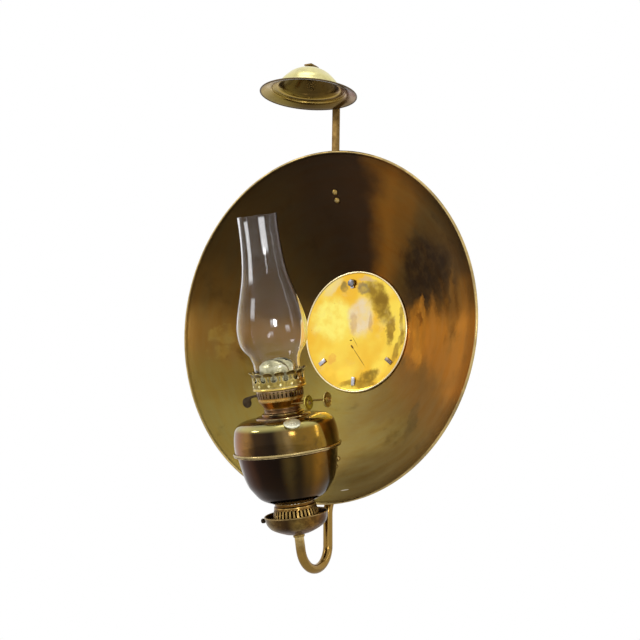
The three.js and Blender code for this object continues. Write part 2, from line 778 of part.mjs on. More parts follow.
// Foot: it stands on the cup's curved inside
const footBase = heightAt(cupInner, footRadius) + seatGap;
const footTop = footBase + footHeight;
const footShares = [
  [1, 0], [1, 0.09], [0.95, 0.16], [0.935, 0.31], [0.82, 0.79], [0.82, 0.85], [0.778, 0.9],
  [0.778, 1],
];
const footSlotShares = [0.33, 0.77];

function fontFoot() {
  const outer = scaled(footShares, footRadius, footHeight, footBase);
  const [low, high] = footSlotShares.map((share) => footBase + share * footHeight);
  const cutter = block(footRadius, footSlotWidth, high - low, [footRadius, 0, (low + high) / 2]);
  const foot = turned(shellOutline(outer, footWall), footSlots);
  return piece('font_foot', cutAway(foot, around(footSlots, cutter, 1 / 2)), darkBrass);
}

// Font shells
const bowlBase = footTop + seatGap;
const seam = bowlBase + bowlHeight;
const bowlShares = [
  [0, 0], [0.383, 0], [0.62, 0.11], [0.717, 0.22], [0.84, 0.42], [0.92, 0.74], [0.955, 0.96],
];

function fontBowl() {
  const wall = scaled(bowlShares, fontRadius, bowlHeight, bowlBase);
  const lip = fontBeadRadius - fontWall;
  const outer = [...wall, [lip, seam - fontWall]];
  const inner = offsetPath(wall, fontWall).map(([r, z], i) => [i === 0 ? 0 : r, z]);
  inner[inner.length - 1][1] = seam;
  const outline = [...outer, [lip, seam], ...inner.reverse()];
  return piece('font_bowl', turned(outline), darkBrass);
}

const shoulderBase = seam + seatGap;
const shoulderTop = shoulderBase + shoulderHeight;
const shoulderShares = [
  [1, 0.11], [1, 0.3], [0.972, 0.64], [0.94, 0.79], [0.87, 0.9], [0.66, 0.985],
];
const neckShares = [
  [1, 0], [0.93, 0.4], [0.78, 0.5], [0.755, 0.88], [0.7, 1],
];
const neckStraightShare = 0.755; // the neck's straight part, as a share of its widest
const shoulderOuter = [
  [fontBeadRadius - fontBeadHeight / 2, shoulderBase],
  ...arc(fontBeadRadius - fontBeadHeight / 2, shoulderBase + fontBeadHeight / 2, fontBeadHeight / 2,
    -Math.PI / 3, Math.PI / 2, arcStep * 5),
  ...scaled(shoulderShares, fontRadius, shoulderHeight, shoulderBase),
  ...scaled(neckShares, neckStepRadius, neckStepHeight, shoulderTop),
];

// Filler: foot of its axis on the shoulder, and its direction, leaning outward
const fillerFoot = [
  fillerOffset * Math.sin(fillerAzimuth),
  -fillerOffset * Math.cos(fillerAzimuth),
  shoulderBase + shoulderHeight * fillerFootShare,
];
const fillerFrame = new THREE.Matrix4()
  .makeTranslation(...fillerFoot)
  .multiply(new THREE.Matrix4().makeRotationZ(fillerAzimuth - Math.PI / 2))
  .multiply(new THREE.Matrix4().makeRotationY(fillerTilt));

function fontShoulder() {
  const inner = offsetPath(scaled(shoulderShares, fontRadius, shoulderHeight, shoulderBase), fontWall);
  const opening = collarInner + seatGap;
  const top = shoulderTop + neckStepHeight;
  const neckInner = neckStepRadius * neckStraightShare - fontWall;
  const outline = [
    ...shoulderOuter,
    [opening, top],
    [opening, top - fontWall],
    [neckInner, top - fontWall],
    [neckInner, shoulderTop - fontWall],
    ...inner.reverse(),
    [fontRadius - fontWall, shoulderBase],
  ];
  const fillerHole = bar([0, 0, -fillerLength], [0, 0, fillerLength], fillerRadius + seatGap)
    .applyMatrix4(fillerFrame);
  return piece('font_shoulder', cutAway(turned(outline), [fillerHole]), darkBrass);
}

function fillerNeck() {
  const outline = [
    [fillerRadius - fillerWall, fillerRise - fillerLength],
    [fillerRadius, fillerRise - fillerLength],
    [fillerRadius, fillerRise],
    [fillerRadius - fillerWall, fillerRise],
  ];
  return piece('filler_neck', turned(outline, smallSides).applyMatrix4(fillerFrame), darkBrass);
}

// The cap from above its skirt up to its top, as shares of its radius and its rim's height
const capShares = [[0.784, -0.2], [0.97, 0], [1, 0.4], [0.97, 1], [0.6, 1.35], [0, 1.6]];
const capSinkShare = 0.4; // how far the rim hangs below the cap's ceiling

function fillerCap() {
  const ceiling = fillerRise + washerHeight + 2 * seatGap;
  const rimLow = ceiling - capRimHeight * capSinkShare;
  const bore = fillerRadius + runGap;
  const outline = [
    [0, ceiling],
    [bore, ceiling],
    [bore, ceiling - capSkirtHeight],
    [capSkirtRadius, ceiling - capSkirtHeight],
    ...scaled(capShares, capRadius, capRimHeight, rimLow),
  ];
  return piece('filler_cap', turned(outline, capSides).applyMatrix4(fillerFrame), paleBrass);
}

function fillerWasher() {
  const low = fillerRise + seatGap;
  const outline = [
    [fillerRadius - fillerWall, low],
    [fillerRadius, low],
    [fillerRadius, low + washerHeight],
    [fillerRadius - fillerWall, low + washerHeight],
  ];
  return piece('filler_washer', turned(outline, smallSides).applyMatrix4(fillerFrame), cork);
}

// Collar on the font's neck, and the burner's seat on it
const collarBase = shoulderTop + neckStepHeight + seatGap;
const burnerBase = collarBase + collarHeight + seatGap;

// The collar's outside, from its foot up, as shares of its lip's radius and its height
const collarShares = [[1, 0], [1, 0.2], [0.97, 0.32], [0.97, 0.68], [1, 0.8], [1, 1]];

function fontCollar() {
  const outline = [
    [collarInner, collarBase],
    ...scaled(collarShares, collarLip, collarHeight, collarBase),
    [collarInner, collarBase + collarHeight],
  ];
  return piece('font_collar', turned(outline), copperBrass);
}

// Burner cone: under tube, flange, cone and the rim that carries the pierced band
const underTube = collarInner - runGap;
const flangeTop = burnerBase + coneWall;
const coneTop = flangeTop + coneHeight;
const spindleZ = burnerBase + spindleHeight;

function burnerCone() {
  const outline = [
    [underTube - coneWall, burnerBase - underTubeLength],
    [underTube, burnerBase - underTubeLength],
    [underTube, burnerBase],
    [collarOuter - seatGap, burnerBase],
    [collarOuter - seatGap, flangeTop],
    [underTube + coneWall, flangeTop],
    [coneTopRadius, coneTop - coneWall],
    [bandRadius, coneTop - coneWall],
    [bandRadius, coneTop],
    [coneTopRadius - coneWall, coneTop],
    [underTube - coneWall, flangeTop],
  ];
  const reach = coneTopRadius + cutOver;
  const bores = [-1, 1].map((side) =>
    bar([-reach, side * spindleOffset, spindleZ], [reach, side * spindleOffset, spindleZ],
      spindleRadius + runGap, pipeSides));
  return piece('burner_cone', cutAway(turned(outline), bores), copperBrass);
}

// Wick tubes: flat tubes with a window on the outer side for the winder's cogs
const wickOffset = spindleOffset - cogRadius - runGap - wickThickness / 2;
const wickTubeLow = burnerBase - underTubeLength - wickTubeDrop;
const wickTubeTop = wickTubeLow + wickTubeLength;
const tubeOuterWidth = wickWidth + 2 * (runGap + wickTubeWall);
const tubeOuterDepth = wickThickness + 2 * (runGap + wickTubeWall);

function flatTube(width, depth, wall, low, high, offset) {
  const outer = block(width, depth, high - low, [0, offset, (low + high) / 2]);
  const bore = block(width - 2 * wall, depth - 2 * wall, high - low + 2 * cutOver,
    [0, offset, (low + high) / 2]);
  return { outer, bore };
}

function wickTube(name, side) {
  const offset = side * wickOffset;
  const { outer, bore } = flatTube(tubeOuterWidth, tubeOuterDepth, wickTubeWall,
    wickTubeLow, wickTubeTop, offset);
  const window = block(cogSpacing + 2 * cogThickness, tubeOuterDepth, 2 * (cogRadius + runGap),
    [0, offset + side * tubeOuterDepth / 2, spindleZ]);
  return piece(name, cutAway(outer, [bore, window]), yellowBrass);
}

function wick(name, side) {
  const top = wickTubeTop + wickAbove;
  const strand = block(wickWidth, wickThickness, wickLength, [0, side * wickOffset, top - wickLength / 2]);
  return piece(name, strand, cottonWick);
}

const tubeWindows = (low, high, clearance) => [-1, 1].map((side) =>
  block(tubeOuterWidth + 2 * clearance, tubeOuterDepth + 2 * clearance, high - low + 2 * cutOver,
    [0, side * wickOffset, (low + high) / 2]));

function burnerDeck() {
  const low = flangeTop + seatGap;
  const high = low + deckThickness;
  const radius = underTube - coneWall - seatGap;
  const disc = bar([0, 0, low], [0, 0, high], radius, plateSides);
  return piece('burner_deck', cutAway(disc, tubeWindows(low, high, seatGap)), yellowBrass);
}

// Pierced band on the cone
const bandBase = coneTop + seatGap;
const bandTop = bandBase + bandHeight;
const bandSlotShares = [0.1, 0.86];

function draughtBand() {
  const [low, high] = bandSlotShares.map((share) => bandBase + share * bandHeight);
  const inner = bandRadius - bandWall;
  const outline = [[inner, bandBase], [bandRadius, bandBase], [bandRadius, bandTop], [inner, bandTop]];
  const cutter = block(bandRadius, bandSlotWidth, high - low, [bandRadius, 0, (low + high) / 2]);
  const band = turned(outline, bandSlots).rotateZ(Math.PI / bandSlots);
  return piece('draught_band', cutAway(band, around(bandSlots, cutter)), copperBrass);
}

// Air plate inside the band, with two ears that carry the lever's pin
const airPlateLow = bandBase + bandHeight * airPlateShare;
const airPlateTop = airPlateLow + airPlateThickness;
const leverPinZ = airPlateLow - leverPinDrop;
const earThickness = leverThickness;
const earOffset = leverThickness / 2 + runGap + earThickness / 2;
const earWidth = 2 * leverPinRadius + 2 * earThickness;
const pushRodX = -(leverPivotReach - leverInnerReach);

function airPlate() {
  const radius = bandRadius - bandWall - seatGap;
  const disc = bar([0, 0, airPlateLow], [0, 0, airPlateTop], radius, plateSides);
  const drop = leverPinDrop + leverPinRadius + earThickness;
  const ears = [-1, 1].map((side) =>
    block(earWidth, earThickness, drop + airPlateThickness / 2,
      [-leverPivotReach, side * earOffset, airPlateLow - drop / 2 + airPlateThickness / 4]));
  const inset = radius * airHoleShare;
  const hole = bar([inset, 0, airPlateLow - cutOver], [inset, 0, airPlateTop + cutOver], airHoleRadius,
    pipeSides / 2);
  const ring = around(airHoles, hole, 1 / 2).filter((_, i) => Math.abs(i + 1 / 2 - airHoles / 2) > 1);
  const rodHole = bar([pushRodX, 0, airPlateLow - cutOver], [pushRodX, 0, airPlateTop + cutOver],
    pushRodRadius + runGap, pipeSides);
  const pinHole = bar([-leverPivotReach, -bandRadius, leverPinZ], [-leverPivotReach, bandRadius, leverPinZ],
    leverPinRadius + seatGap, pipeSides);
  const slotStart = -leverPivotReach + earWidth / 2 + runGap;
  const slotEnd = pushRodX + 2 * pushRodRadius;
  const leverSlot = block(slotEnd - slotStart, leverThickness + 2 * runGap, airPlateThickness + 2 * cutOver,
    [(slotStart + slotEnd) / 2, 0, (airPlateLow + airPlateTop) / 2]);
  const tubes = tubeWindows(airPlateLow, airPlateTop, runGap + sleeveWall + runGap);
  const cuts = [...tubes, ...ring, rodHole, pinHole, leverSlot];
  return piece('air_plate', cutAway(joined([disc, ...ears]), cuts), yellowBrass);
}

function leverPin() {
  const reach = earOffset + earThickness / 2 + leverPinRadius / 2;
  const pin = bar([-leverPivotReach, -reach, leverPinZ], [-leverPivotReach, reach, leverPinZ],
    leverPinRadius, pipeSides);
  return piece('lever_pin', pin, brightSteel);
}

// Lever: a flat plate in the X-Z plane, its arm out through one of the band's slots to a thumb disc.
// Its edges are shares of the disc's reach and, from the pin's level, of the arm's height.
const leverTipShares = [-0.2, 0.3];
const leverTopShares = [[0.5, 0.55], [0.8, 0.1]];
const leverUnderShares = [[0.84, -1.05], [0.76, -0.8], [0.5, -0.75]];

function extinguisherLever() {
  const discZ = leverPinZ - leverDiscDrop;
  const eye = leverPinRadius + runGap + leverArmHeight / 2;
  const innerEnd = pushRodX + pushRodRadius + runGap;
  const edge = (points) => points.map(([reach, height]) => [reach, leverPinZ + height * leverArmHeight]);
  const outline = [
    ...edge([
      [innerEnd, leverTipShares[0]],
      [innerEnd, leverTipShares[1]],
      [-leverPivotReach + eye, leverTipShares[1]],
      ...leverTopShares.map(([reach, height]) => [-reach * leverDiscReach, height]),
    ]),
    ...arc(-leverDiscReach, discZ, leverDiscRadius, Math.PI * 0.56, Math.PI * 2.16, arcStep * 2),
    ...edge([
      ...leverUnderShares.map(([reach, height]) => [-reach * leverDiscReach, height]),
      [-leverPivotReach + eye, -1 / 2],
    ]),
  ];
  const turn = new THREE.Matrix4().makeBasis(
    new THREE.Vector3(1, 0, 0), new THREE.Vector3(0, 0, 1), new THREE.Vector3(0, -1, 0));
  const shape = outlineShape(outline);
  const plate = new THREE.ExtrudeGeometry(shape, { depth: leverThickness, bevelEnabled: false })
    .translate(0, 0, -leverThickness / 2)
    .applyMatrix4(turn);
  const eyeHole = bar([-leverPivotReach, -bandRadius, leverPinZ], [-leverPivotReach, bandRadius, leverPinZ],
    leverPinRadius + runGap, pipeSides);
  return piece('extinguisher_lever', cutAway(plate, [eyeHole]), blackenedBrass);
}

// Sleeves that slide up the wick tubes, their bridge and the rod that the lever pushes
function extinguisherSleeves() {
  const high = wickTubeTop - sleeveDrop;
  const low = high - sleeveHeight;
  const width = tubeOuterWidth + 2 * (runGap + sleeveWall);
  const depth = tubeOuterDepth + 2 * (runGap + sleeveWall);
  const sleeves = [-1, 1].map((side) => flatTube(width, depth, sleeveWall, low, high, side * wickOffset));
  const bridgeEnd = pushRodX + 2 * pushRodRadius;
  const bridge = block(bridgeEnd + width / 2, 2 * wickOffset + depth / 2, 2 * sleeveWall,
    [(bridgeEnd - width / 2) / 2, 0, low + sleeveWall]);
  const rodLow = leverPinZ + leverTipShares[1] * leverArmHeight + seatGap;
  const rod = bar([pushRodX, 0, rodLow], [pushRodX, 0, low + sleeveWall], pushRodRadius, pipeSides);
  const body = joined([sleeves[0].outer, sleeves[1].outer, bridge, rod]);
  return piece('extinguisher_sleeves', cutAway(body, sleeves.map(({ bore }) => bore)), yellowBrass);
}

// Winder: spindle with two cogs, and a pierced knob riveted on its end
function winderSpindle(name, side, reach) {
  const y = side * spindleOffset;
  const coneAt = underTube + coneWall
    + (coneTopRadius - underTube - coneWall) * (spindleHeight - coneWall) / (coneHeight - coneWall);
  const innerEnd = -Math.sqrt(coneAt * coneAt - y * y);
  const tip = reach + knobThickness / 2 + seatGap;
  const shaft = bar([innerEnd, y, spindleZ], [tip + spindleRadius, y, spindleZ], spindleRadius, pipeSides);
  const rivet = bar([tip, y, spindleZ], [tip + spindleRadius, y, spindleZ], spindleRadius * 2, pipeSides);
  const teeth = Array.from({ length: 2 * cogTeeth }, (_, i) => {
    const radius = i % 2 ? cogRadius * cogRootShare : cogRadius;
    const angle = (i + 1 / 2) / cogTeeth * Math.PI;
    return [radius * Math.cos(angle), radius * Math.sin(angle)];
  });
  const cogs = [-1, 1].map((end) =>
    sideways(teeth, cogThickness).translate(end * cogSpacing / 2, y, spindleZ));
  return piece(name, joined([shaft, rivet, ...cogs]), yellowBrass);
}

// A knob's face from its hub out to its rim, as shares of its radius and half its thickness
const knobShares = [[0.286, 1], [0.343, 0.35], [0.8, 0.35], [0.9, 1], [1, 0.5]];

function winderKnob(name, side, reach, material) {
  const half = knobThickness / 2;
  const bore = spindleRadius + seatGap;
  const outline = [
    [bore, -half],
    ...scaled(knobShares, knobRadius, -half),
    ...scaled([...knobShares].reverse(), knobRadius, half),
    [bore, half],
  ];
  const knob = turned(outline, knobSides)
    .rotateY(Math.PI / 2)
    .translate(reach, side * spindleOffset, spindleZ);
  return piece(name, knob, material);
}

// Gallery: beaded ring with a ledge for the chimney and dome, and the pierced crown
const galleryBase = bandTop + seatGap;
const ledge = galleryBase + galleryPlate;
const crownShares = [0, 0.7, 1];
const crownFlareShares = [0, 0, 1];
const crownFootShare = 0.9; // where the crown leaves the bead, as a share of the bead's radius
const crownBandShare = 0.38; // height of the whole band below the gaps, as a share of the crown's

function galleryCrown() {
  const beadR = galleryRadius - galleryBeadRadius;
  const beadZ = galleryBase + galleryBeadRadius;
  const crownFoot = beadZ + crownFootShare * galleryBeadRadius;
  const crown = crownShares.map((share, i) =>
    [crownRadius + crownFlareShares[i] * crownFlare, crownFoot + share * crownHeight]);
  const crownInner = crown.map(([r, z]) => [r - crownWall, z]).reverse();
  const outline = [
    [galleryOpening, galleryBase],
    [beadR, galleryBase],
    ...arc(beadR, beadZ, galleryBeadRadius, -Math.PI / 3, Math.PI * 0.4, arcStep * 3),
    ...crown,
    ...crownInner,
    [crownRadius - crownWall, ledge],
    [galleryOpening, ledge],
  ];
  const sides = 2 * crownPetals;
  const top = crown[crown.length - 1][1];
  const reach = crownRadius + crownFlare;
  const gapLow = crown[0][1] + crownHeight * crownBandShare;
  const gap = block(reach, crownGapWidth, top - gapLow + cutOver, [reach, 0, (top + gapLow + cutOver) / 2]);
  const ring = turned(outline, sides).rotateZ(Math.PI / sides);
  return piece('gallery_crown', cutAway(ring, around(crownPetals, gap, 1 / 2)), yellowBrass);
}

// Burner dome: two lobes over the wicks, each with a slot for its flame
function burnerDome() {
  const low = ledge + seatGap;
  const lobeDepth = domeRadius - domeLobeOffset;
  const drumTop = low + domeHeight * domeDrumShare;
  const lobeHeight = low + domeHeight - drumTop;
  const lobes = (inset) => [-1, 1].map((side) =>
    new THREE.SphereGeometry(1, smallSides, smallSides / 2)
      .rotateX(Math.PI / 2)
      .scale(domeRadius - inset, lobeDepth - inset, lobeHeight - inset)
      .translate(0, side * domeLobeOffset, drumTop));
  const drum = (radius, from, to) => bar([0, 0, from], [0, 0, to], radius, domeSides);
  const flange = drum(chimneyFoot - chimneyWall - 2 * seatGap, low, low + domeWall);
  const skin = joined([flange, drum(domeRadius, low, drumTop), ...lobes(0)]);
  const hollow = joined([drum(domeRadius - domeWall, low - cutOver, drumTop), ...lobes(domeWall)]);
  const floor = block(4 * domeRadius, 4 * domeRadius, domeHeight, [0, 0, low - domeHeight / 2]);
  const slots = [-1, 1].map((side) =>
    block(wickWidth + 4 * runGap, wickThickness + 4 * runGap, domeHeight,
      [0, side * wickOffset, low + domeHeight]));
  return piece('burner_dome', cutAway(skin, [hollow, floor, ...slots]), paleBrass);
}

// Chimney profile as shares of its bulge radius and its height; the foot's radius is its own size
const chimneyShares = [
  [0.668, 0.15], [0.74, 0.19], [0.88, 0.23], [0.965, 0.27], [1, 0.335], [0.975, 0.388],
  [0.9, 0.46], [0.77, 0.56], [0.655, 0.65], [0.575, 0.77], [0.549, 0.9], [0.562, 1],
];

function chimney() {
  const low = ledge + seatGap;
  const outer = [[chimneyFoot, low], ...scaled(chimneyShares, chimneyBulge, chimneyHeight, low)];
  return piece('chimney', turned(shellOutline(outer, chimneyWall)), clearGlass);
}

const part = new THREE.Group();
part.add(
  wallPlate(),
  plateRivet('plate_rivet_upper', 1),
  plateRivet('plate_rivet_lower', -1),
  reflectorDish(),
  mirrorDisc(),
  ...tabs.map(mirrorTab),
  bellStrap(),
  armStay(),
  armTube(),
);

const strapDepth = dishSheet + seatGap + strapThickness;
const armDepth = tubeBehind + tubeRadius;
const screwPlaces = [
  { name: 'strap', side: 1, depth: strapDepth },
  { name: 'arm', side: -1, depth: armDepth },
];
for (const { name, side, depth } of screwPlaces) {
  screwRadii.forEach((radius, n) => {
    const where = n === 0 ? 'outer' : 'inner';
    part.add(slopeScrew(`${name}_screw_${where}`, radius, side, depth));
    part.add(slopeNut(`${name}_nut_${where}`, radius, side, depth));
  });
}

const bell = new THREE.Group();
bell.position.set(0, bellY, bellZ);
bell.rotation.x = -bellTilt;
bell.add(smokeBell(), bellBoss(), bellBolt());

const lamp = new THREE.Group();
lamp.position.set(0, ...lampOrigin);
lamp.rotation.x = lampLean;
lamp.add(
  armFerrule(),
  lampCup(),
  cupScrew(),
  fontFoot(),
  fontBowl(),
  fontShoulder(),
  fillerNeck(),
  fillerWasher(),
  fillerCap(),
  fontCollar(),
  burnerCone(),
  burnerDeck(),
  wickTube('wick_tube_front', -1),
  wickTube('wick_tube_rear', 1),
  wick('wick_front', -1),
  wick('wick_rear', 1),
  winderSpindle('winder_spindle_front', -1, frontKnobReach),
  winderKnob('winder_knob_front', -1, frontKnobReach, yellowBrass),
  winderSpindle('winder_spindle_rear', 1, rearKnobReach),
  winderKnob('winder_knob_rear', 1, rearKnobReach, copperBrass),
  draughtBand(),
  airPlate(),
  leverPin(),
  extinguisherLever(),
  extinguisherSleeves(),
  galleryCrown(),
  burnerDome(),
  chimney(),
);

part.add(bell, lamp);

export default part;
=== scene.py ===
import math

import bmesh
import bpy
from mathutils import Matrix, Vector
from mathutils.geometry import interpolate_bezier


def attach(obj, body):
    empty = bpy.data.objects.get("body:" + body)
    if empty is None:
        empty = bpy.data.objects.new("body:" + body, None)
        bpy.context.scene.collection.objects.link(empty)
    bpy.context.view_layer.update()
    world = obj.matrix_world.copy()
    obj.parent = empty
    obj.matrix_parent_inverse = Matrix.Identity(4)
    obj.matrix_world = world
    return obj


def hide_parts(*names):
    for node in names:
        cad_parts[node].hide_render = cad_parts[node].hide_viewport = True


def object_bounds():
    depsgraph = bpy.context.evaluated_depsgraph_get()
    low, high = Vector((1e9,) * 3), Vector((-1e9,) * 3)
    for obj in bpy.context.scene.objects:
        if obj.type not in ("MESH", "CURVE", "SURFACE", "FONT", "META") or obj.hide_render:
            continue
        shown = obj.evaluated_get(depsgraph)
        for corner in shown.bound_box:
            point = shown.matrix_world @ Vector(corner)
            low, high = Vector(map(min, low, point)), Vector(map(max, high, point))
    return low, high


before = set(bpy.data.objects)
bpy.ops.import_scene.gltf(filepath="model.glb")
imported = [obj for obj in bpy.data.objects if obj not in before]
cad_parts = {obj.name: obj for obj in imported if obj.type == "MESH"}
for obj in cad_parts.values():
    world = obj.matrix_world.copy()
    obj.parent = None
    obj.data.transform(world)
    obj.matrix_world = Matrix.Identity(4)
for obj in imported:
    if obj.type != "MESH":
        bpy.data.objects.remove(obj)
cad_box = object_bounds()
scene = bpy.context.scene

MM = 0.001


def turned(degrees, axis):
    return Matrix.Rotation(math.radians(degrees), 4, axis)


def stood(name, data):
    """A new object, linked into the scene."""
    made = bpy.data.objects.new(name, data)
    scene.collection.objects.link(made)
    return made


# Frames of the turned pieces. A piece is made round Z, and one of these sets it down.
CUP_BOTTOM, LAMP_LEAN = (0, -0.159305, -0.296575), 13
BELL_MOUTH, BELL_LEAN = (0, -0.136476, 0.3322), -7
ROOM = turned(-90, "X")
LAMP = Matrix.Translation(CUP_BOTTOM) @ turned(LAMP_LEAN, "X")
BELL = Matrix.Translation(BELL_MOUTH) @ turned(BELL_LEAN, "X")

# The reflector: its levels along Y and its rim
RIM_PLANE = -96.6
RIM_RADIUS = 255
DISH_FLOOR = -6.6
SLOPE = 0.5
SLOPE_ANGLE = math.atan(SLOPE)


# Camera, at the photograph's viewing angle

camera = stood("camera", bpy.data.cameras.new("camera"))
camera.location = (1.69872, -2.55967, -0.34220)
camera.rotation_euler = (math.radians(96.702), 0, math.radians(34.709))
camera.data.sensor_width = 36
camera.data.lens = 118.125
camera.data.clip_end = 200
scene.camera = camera


# Node helpers

def colour(code):
    """A finish's colour, written as it looks, as the linear values a shader takes."""
    shares = [int(code[i:i + 2], 16) / 255 for i in (0, 2, 4)]
    return (*[s / 12.92 if s <= 0.04045 else ((s + 0.055) / 1.055) ** 2.4 for s in shares], 1)


def filled(node, values):
    """Fills a node's sockets with numbers or joins them to other sockets, and hands on its outputs."""
    for key, value in values.items():
        if isinstance(value, bpy.types.NodeSocket):
            node.id_data.links.new(value, node.inputs[key])
        else:
            node.inputs[key].default_value = value
    return node.outputs


def add(kind, values=(), tree=None, **settings):
    """The outputs of a new node, in the tree of the sockets that are joined to it unless a tree is given."""
    values = dict(values)
    tree = tree or next(v.id_data for v in values.values() if isinstance(v, bpy.types.NodeSocket))
    node = tree.nodes.new("ShaderNode" + kind)
    for key, value in settings.items():
        setattr(node, key, value)
    return filled(node, values)


def maths(operation, *terms):
    return add("Math", enumerate(terms), operation=operation)[0]


def times(a, b):
    return maths("MULTIPLY", a, b)


def plus(a, b):
    return maths("ADD", a, b)


def less(a, b):
    return maths("SUBTRACT", a, b)


def vectors(operation, a, b):
    """A sum of two vectors: a number from a dot product or a distance, else a vector."""
    result = "Value" if operation in ("DOT_PRODUCT", "DISTANCE") else "Vector"
    return add("VectorMath", {0: a, 1: b}, operation=operation)[result]


def stretched(vector, share):
    return add("VectorMath", {0: vector, 3: share}, operation="SCALE")[0]


def eased(value, low, high, start=0, end=1):
    """value carried from low..high to start..end along a soft step."""
    values = {"Value": value, "From Min": low, "From Max": high, "To Min": start, "To Max": end}
    return add("MapRange", values, interpolation_type="SMOOTHSTEP")[0]


def noise(spot, scale, detail, roughness=0.5, distortion=0):
    values = {"Vector": spot, "Scale": scale, "Detail": detail, "Roughness": roughness,
              "Distortion": distortion}
    return add("TexNoise", values)[0]


def bump(height, distance=1):
    return add("Bump", {"Height": height, "Distance": distance})[0]


def tinted(mask, under, over, way="MIX"):
    """The under colour with the over colour laid on where the mask is bright."""
    under, over = [colour(c) if isinstance(c, str) else c for c in (under, over)]
    return add("Mix", {0: mask, 6: under, 7: over}, data_type="RGBA", blend_type=way)[2]


def placed(group, spot, values=()):
    """The outputs of an effect's group node at this spot, with this material's own values."""
    node = spot.id_data.nodes.new("ShaderNodeGroup")
    node.node_tree = group
    return filled(node, {"Vector": spot, **dict(values)})


# Shared effects

def effect(inputs=()):
    """Makes a node group with these inputs from a function of its spot and sockets that gives its outputs.
    An input without a number is a vector."""
    def grouped(build):
        tree = bpy.data.node_groups.new(build.__name__, "ShaderNodeTree")
        for label, value in {"Vector": None, **dict(inputs)}.items():
            kind = "NodeSocketVector" if value is None else "NodeSocketFloat"
            socket = tree.interface.new_socket(label, in_out="INPUT", socket_type=kind)
            if value is not None:
                socket.default_value = value
        given = tree.nodes.new("NodeGroupInput").outputs
        made = build(given["Vector"], given)
        for label in made:
            tree.interface.new_socket(label, in_out="OUTPUT", socket_type="NodeSocketFloat")
        filled(tree.nodes.new("NodeGroupOutput"), made)
        return tree
    return grouped


@effect()
def round_coordinates(spot, _):
    """Turn, distance and height of a point round its piece's axis; the turn runs from 0 to 1."""
    axes = add("SeparateXYZ", {0: spot})
    angle = maths("ARCTAN2", axes[1], axes[0])
    turn = add("MapRange", {"Value": angle, "From Min": -math.pi, "From Max": math.pi})[0]
    squares = plus(times(axes[0], axes[0]), times(axes[1], axes[1]))
    return {"Turn": turn, "Distance": maths("SQRT", squares), "Height": axes[2]}


@effect({"Rings per Metre": 900})
def turning_marks(spot, given):
    """Fine rings left by the spinning tool, and softer wiping marks that follow them."""
    axes = placed(round_coordinates, spot)
    turn = axes["Turn"]
    across, along = [times(axes[way], given["Rings per Metre"]) for way in ("Distance", "Height")]
    fine = add("CombineXYZ", {0: across, 1: along, 2: times(turn, 9)})[0]
    broad = add("CombineXYZ", {0: times(across, 0.12), 1: times(along, 0.12), 2: times(turn, 22)})[0]
    return {"Rings": noise(fine, 1, 3, 0.6), "Wipes": noise(broad, 1, 4, 0.65)}


@effect({"Size": 0.05, "Cover": 0.5, "Edge": 0.12})
def patina(spot, given):
    """Cloudy patches of tarnish: more of them as Cover rises."""
    cloud = noise(spot, maths("DIVIDE", 1, given["Size"]), 6, 0.62, 0.35)
    middle = less(0.8, times(given["Cover"], 0.6))
    return {"Mask": eased(cloud, less(middle, given["Edge"]), plus(middle, given["Edge"]))}


@effect({"Spacing": 0.004, "Size": 0.16})
def flecks(spot, given):
    """Small pits and spots of verdigris, in loose swarms."""
    scale = maths("DIVIDE", 1, given["Spacing"])
    cells = add("TexVoronoi", {"Vector": spot, "Scale": scale})["Distance"]
    swarm = eased(noise(spot, 28, 2), 0.5, 0.72)
    return {"Mask": maths("LESS_THAN", cells, times(given["Size"], swarm))}


@effect({"From": None, "To": None, "Width": 0.0004})
def scuff(spot, given):
    """One straight scratch between two points, tapering to its ends."""
    line = vectors("SUBTRACT", given["To"], given["From"])
    way = vectors("SUBTRACT", spot, given["From"])
    share = maths("DIVIDE", vectors("DOT_PRODUCT", way, line), vectors("DOT_PRODUCT", line, line))
    held = add("Clamp", {0: share})[0]
    away = vectors("DISTANCE", way, stretched(line, held))
    taper = eased(maths("ABSOLUTE", less(held, 0.5)), 0.2, 0.5, 1, 0.15)
    reach = maths("DIVIDE", away, times(given["Width"], taper))
    return {"Mask": eased(reach, 0.6, 1.4, 1, 0)}


@effect({"Amount": 0.7})
def edge_wear(spot, given):
    """Where hands and cloths have rubbed the raised edges bright."""
    worn = add("Attribute", tree=spot.id_data, attribute_name="wear")["Fac"]
    patchy = eased(noise(spot, 160, 4), 0.3, 0.62, 0.35, 1)
    return {"Mask": times(times(worn, patchy), given["Amount"])}


@effect({"Middle": None, "Long": None, "Short": None, "Waver": 0.02, "Edge": 0.2})
def blot(spot, given):
    """A patch with a soft, wandering edge. Long and Short point across it, each over its half length."""
    cloudy = add("TexNoise", {"Vector": spot, "Scale": 30, "Detail": 6, "Roughness": 0.65})[1]
    sway = stretched(vectors("SUBTRACT", cloudy, (0.5, 0.5, 0.5)), given["Waver"])
    way = vectors("SUBTRACT", vectors("ADD", spot, sway), given["Middle"])
    along, across = [vectors("DOT_PRODUCT", way, given[axis]) for axis in ("Long", "Short")]
    away = maths("SQRT", plus(times(along, along), times(across, across)))
    patch = eased(away, less(1, given["Edge"]), plus(1, given["Edge"]), 1, 0)
    return {"Mask": times(patch, eased(noise(spot, 75, 5), 0.32, 0.6, 0.6, 1))}


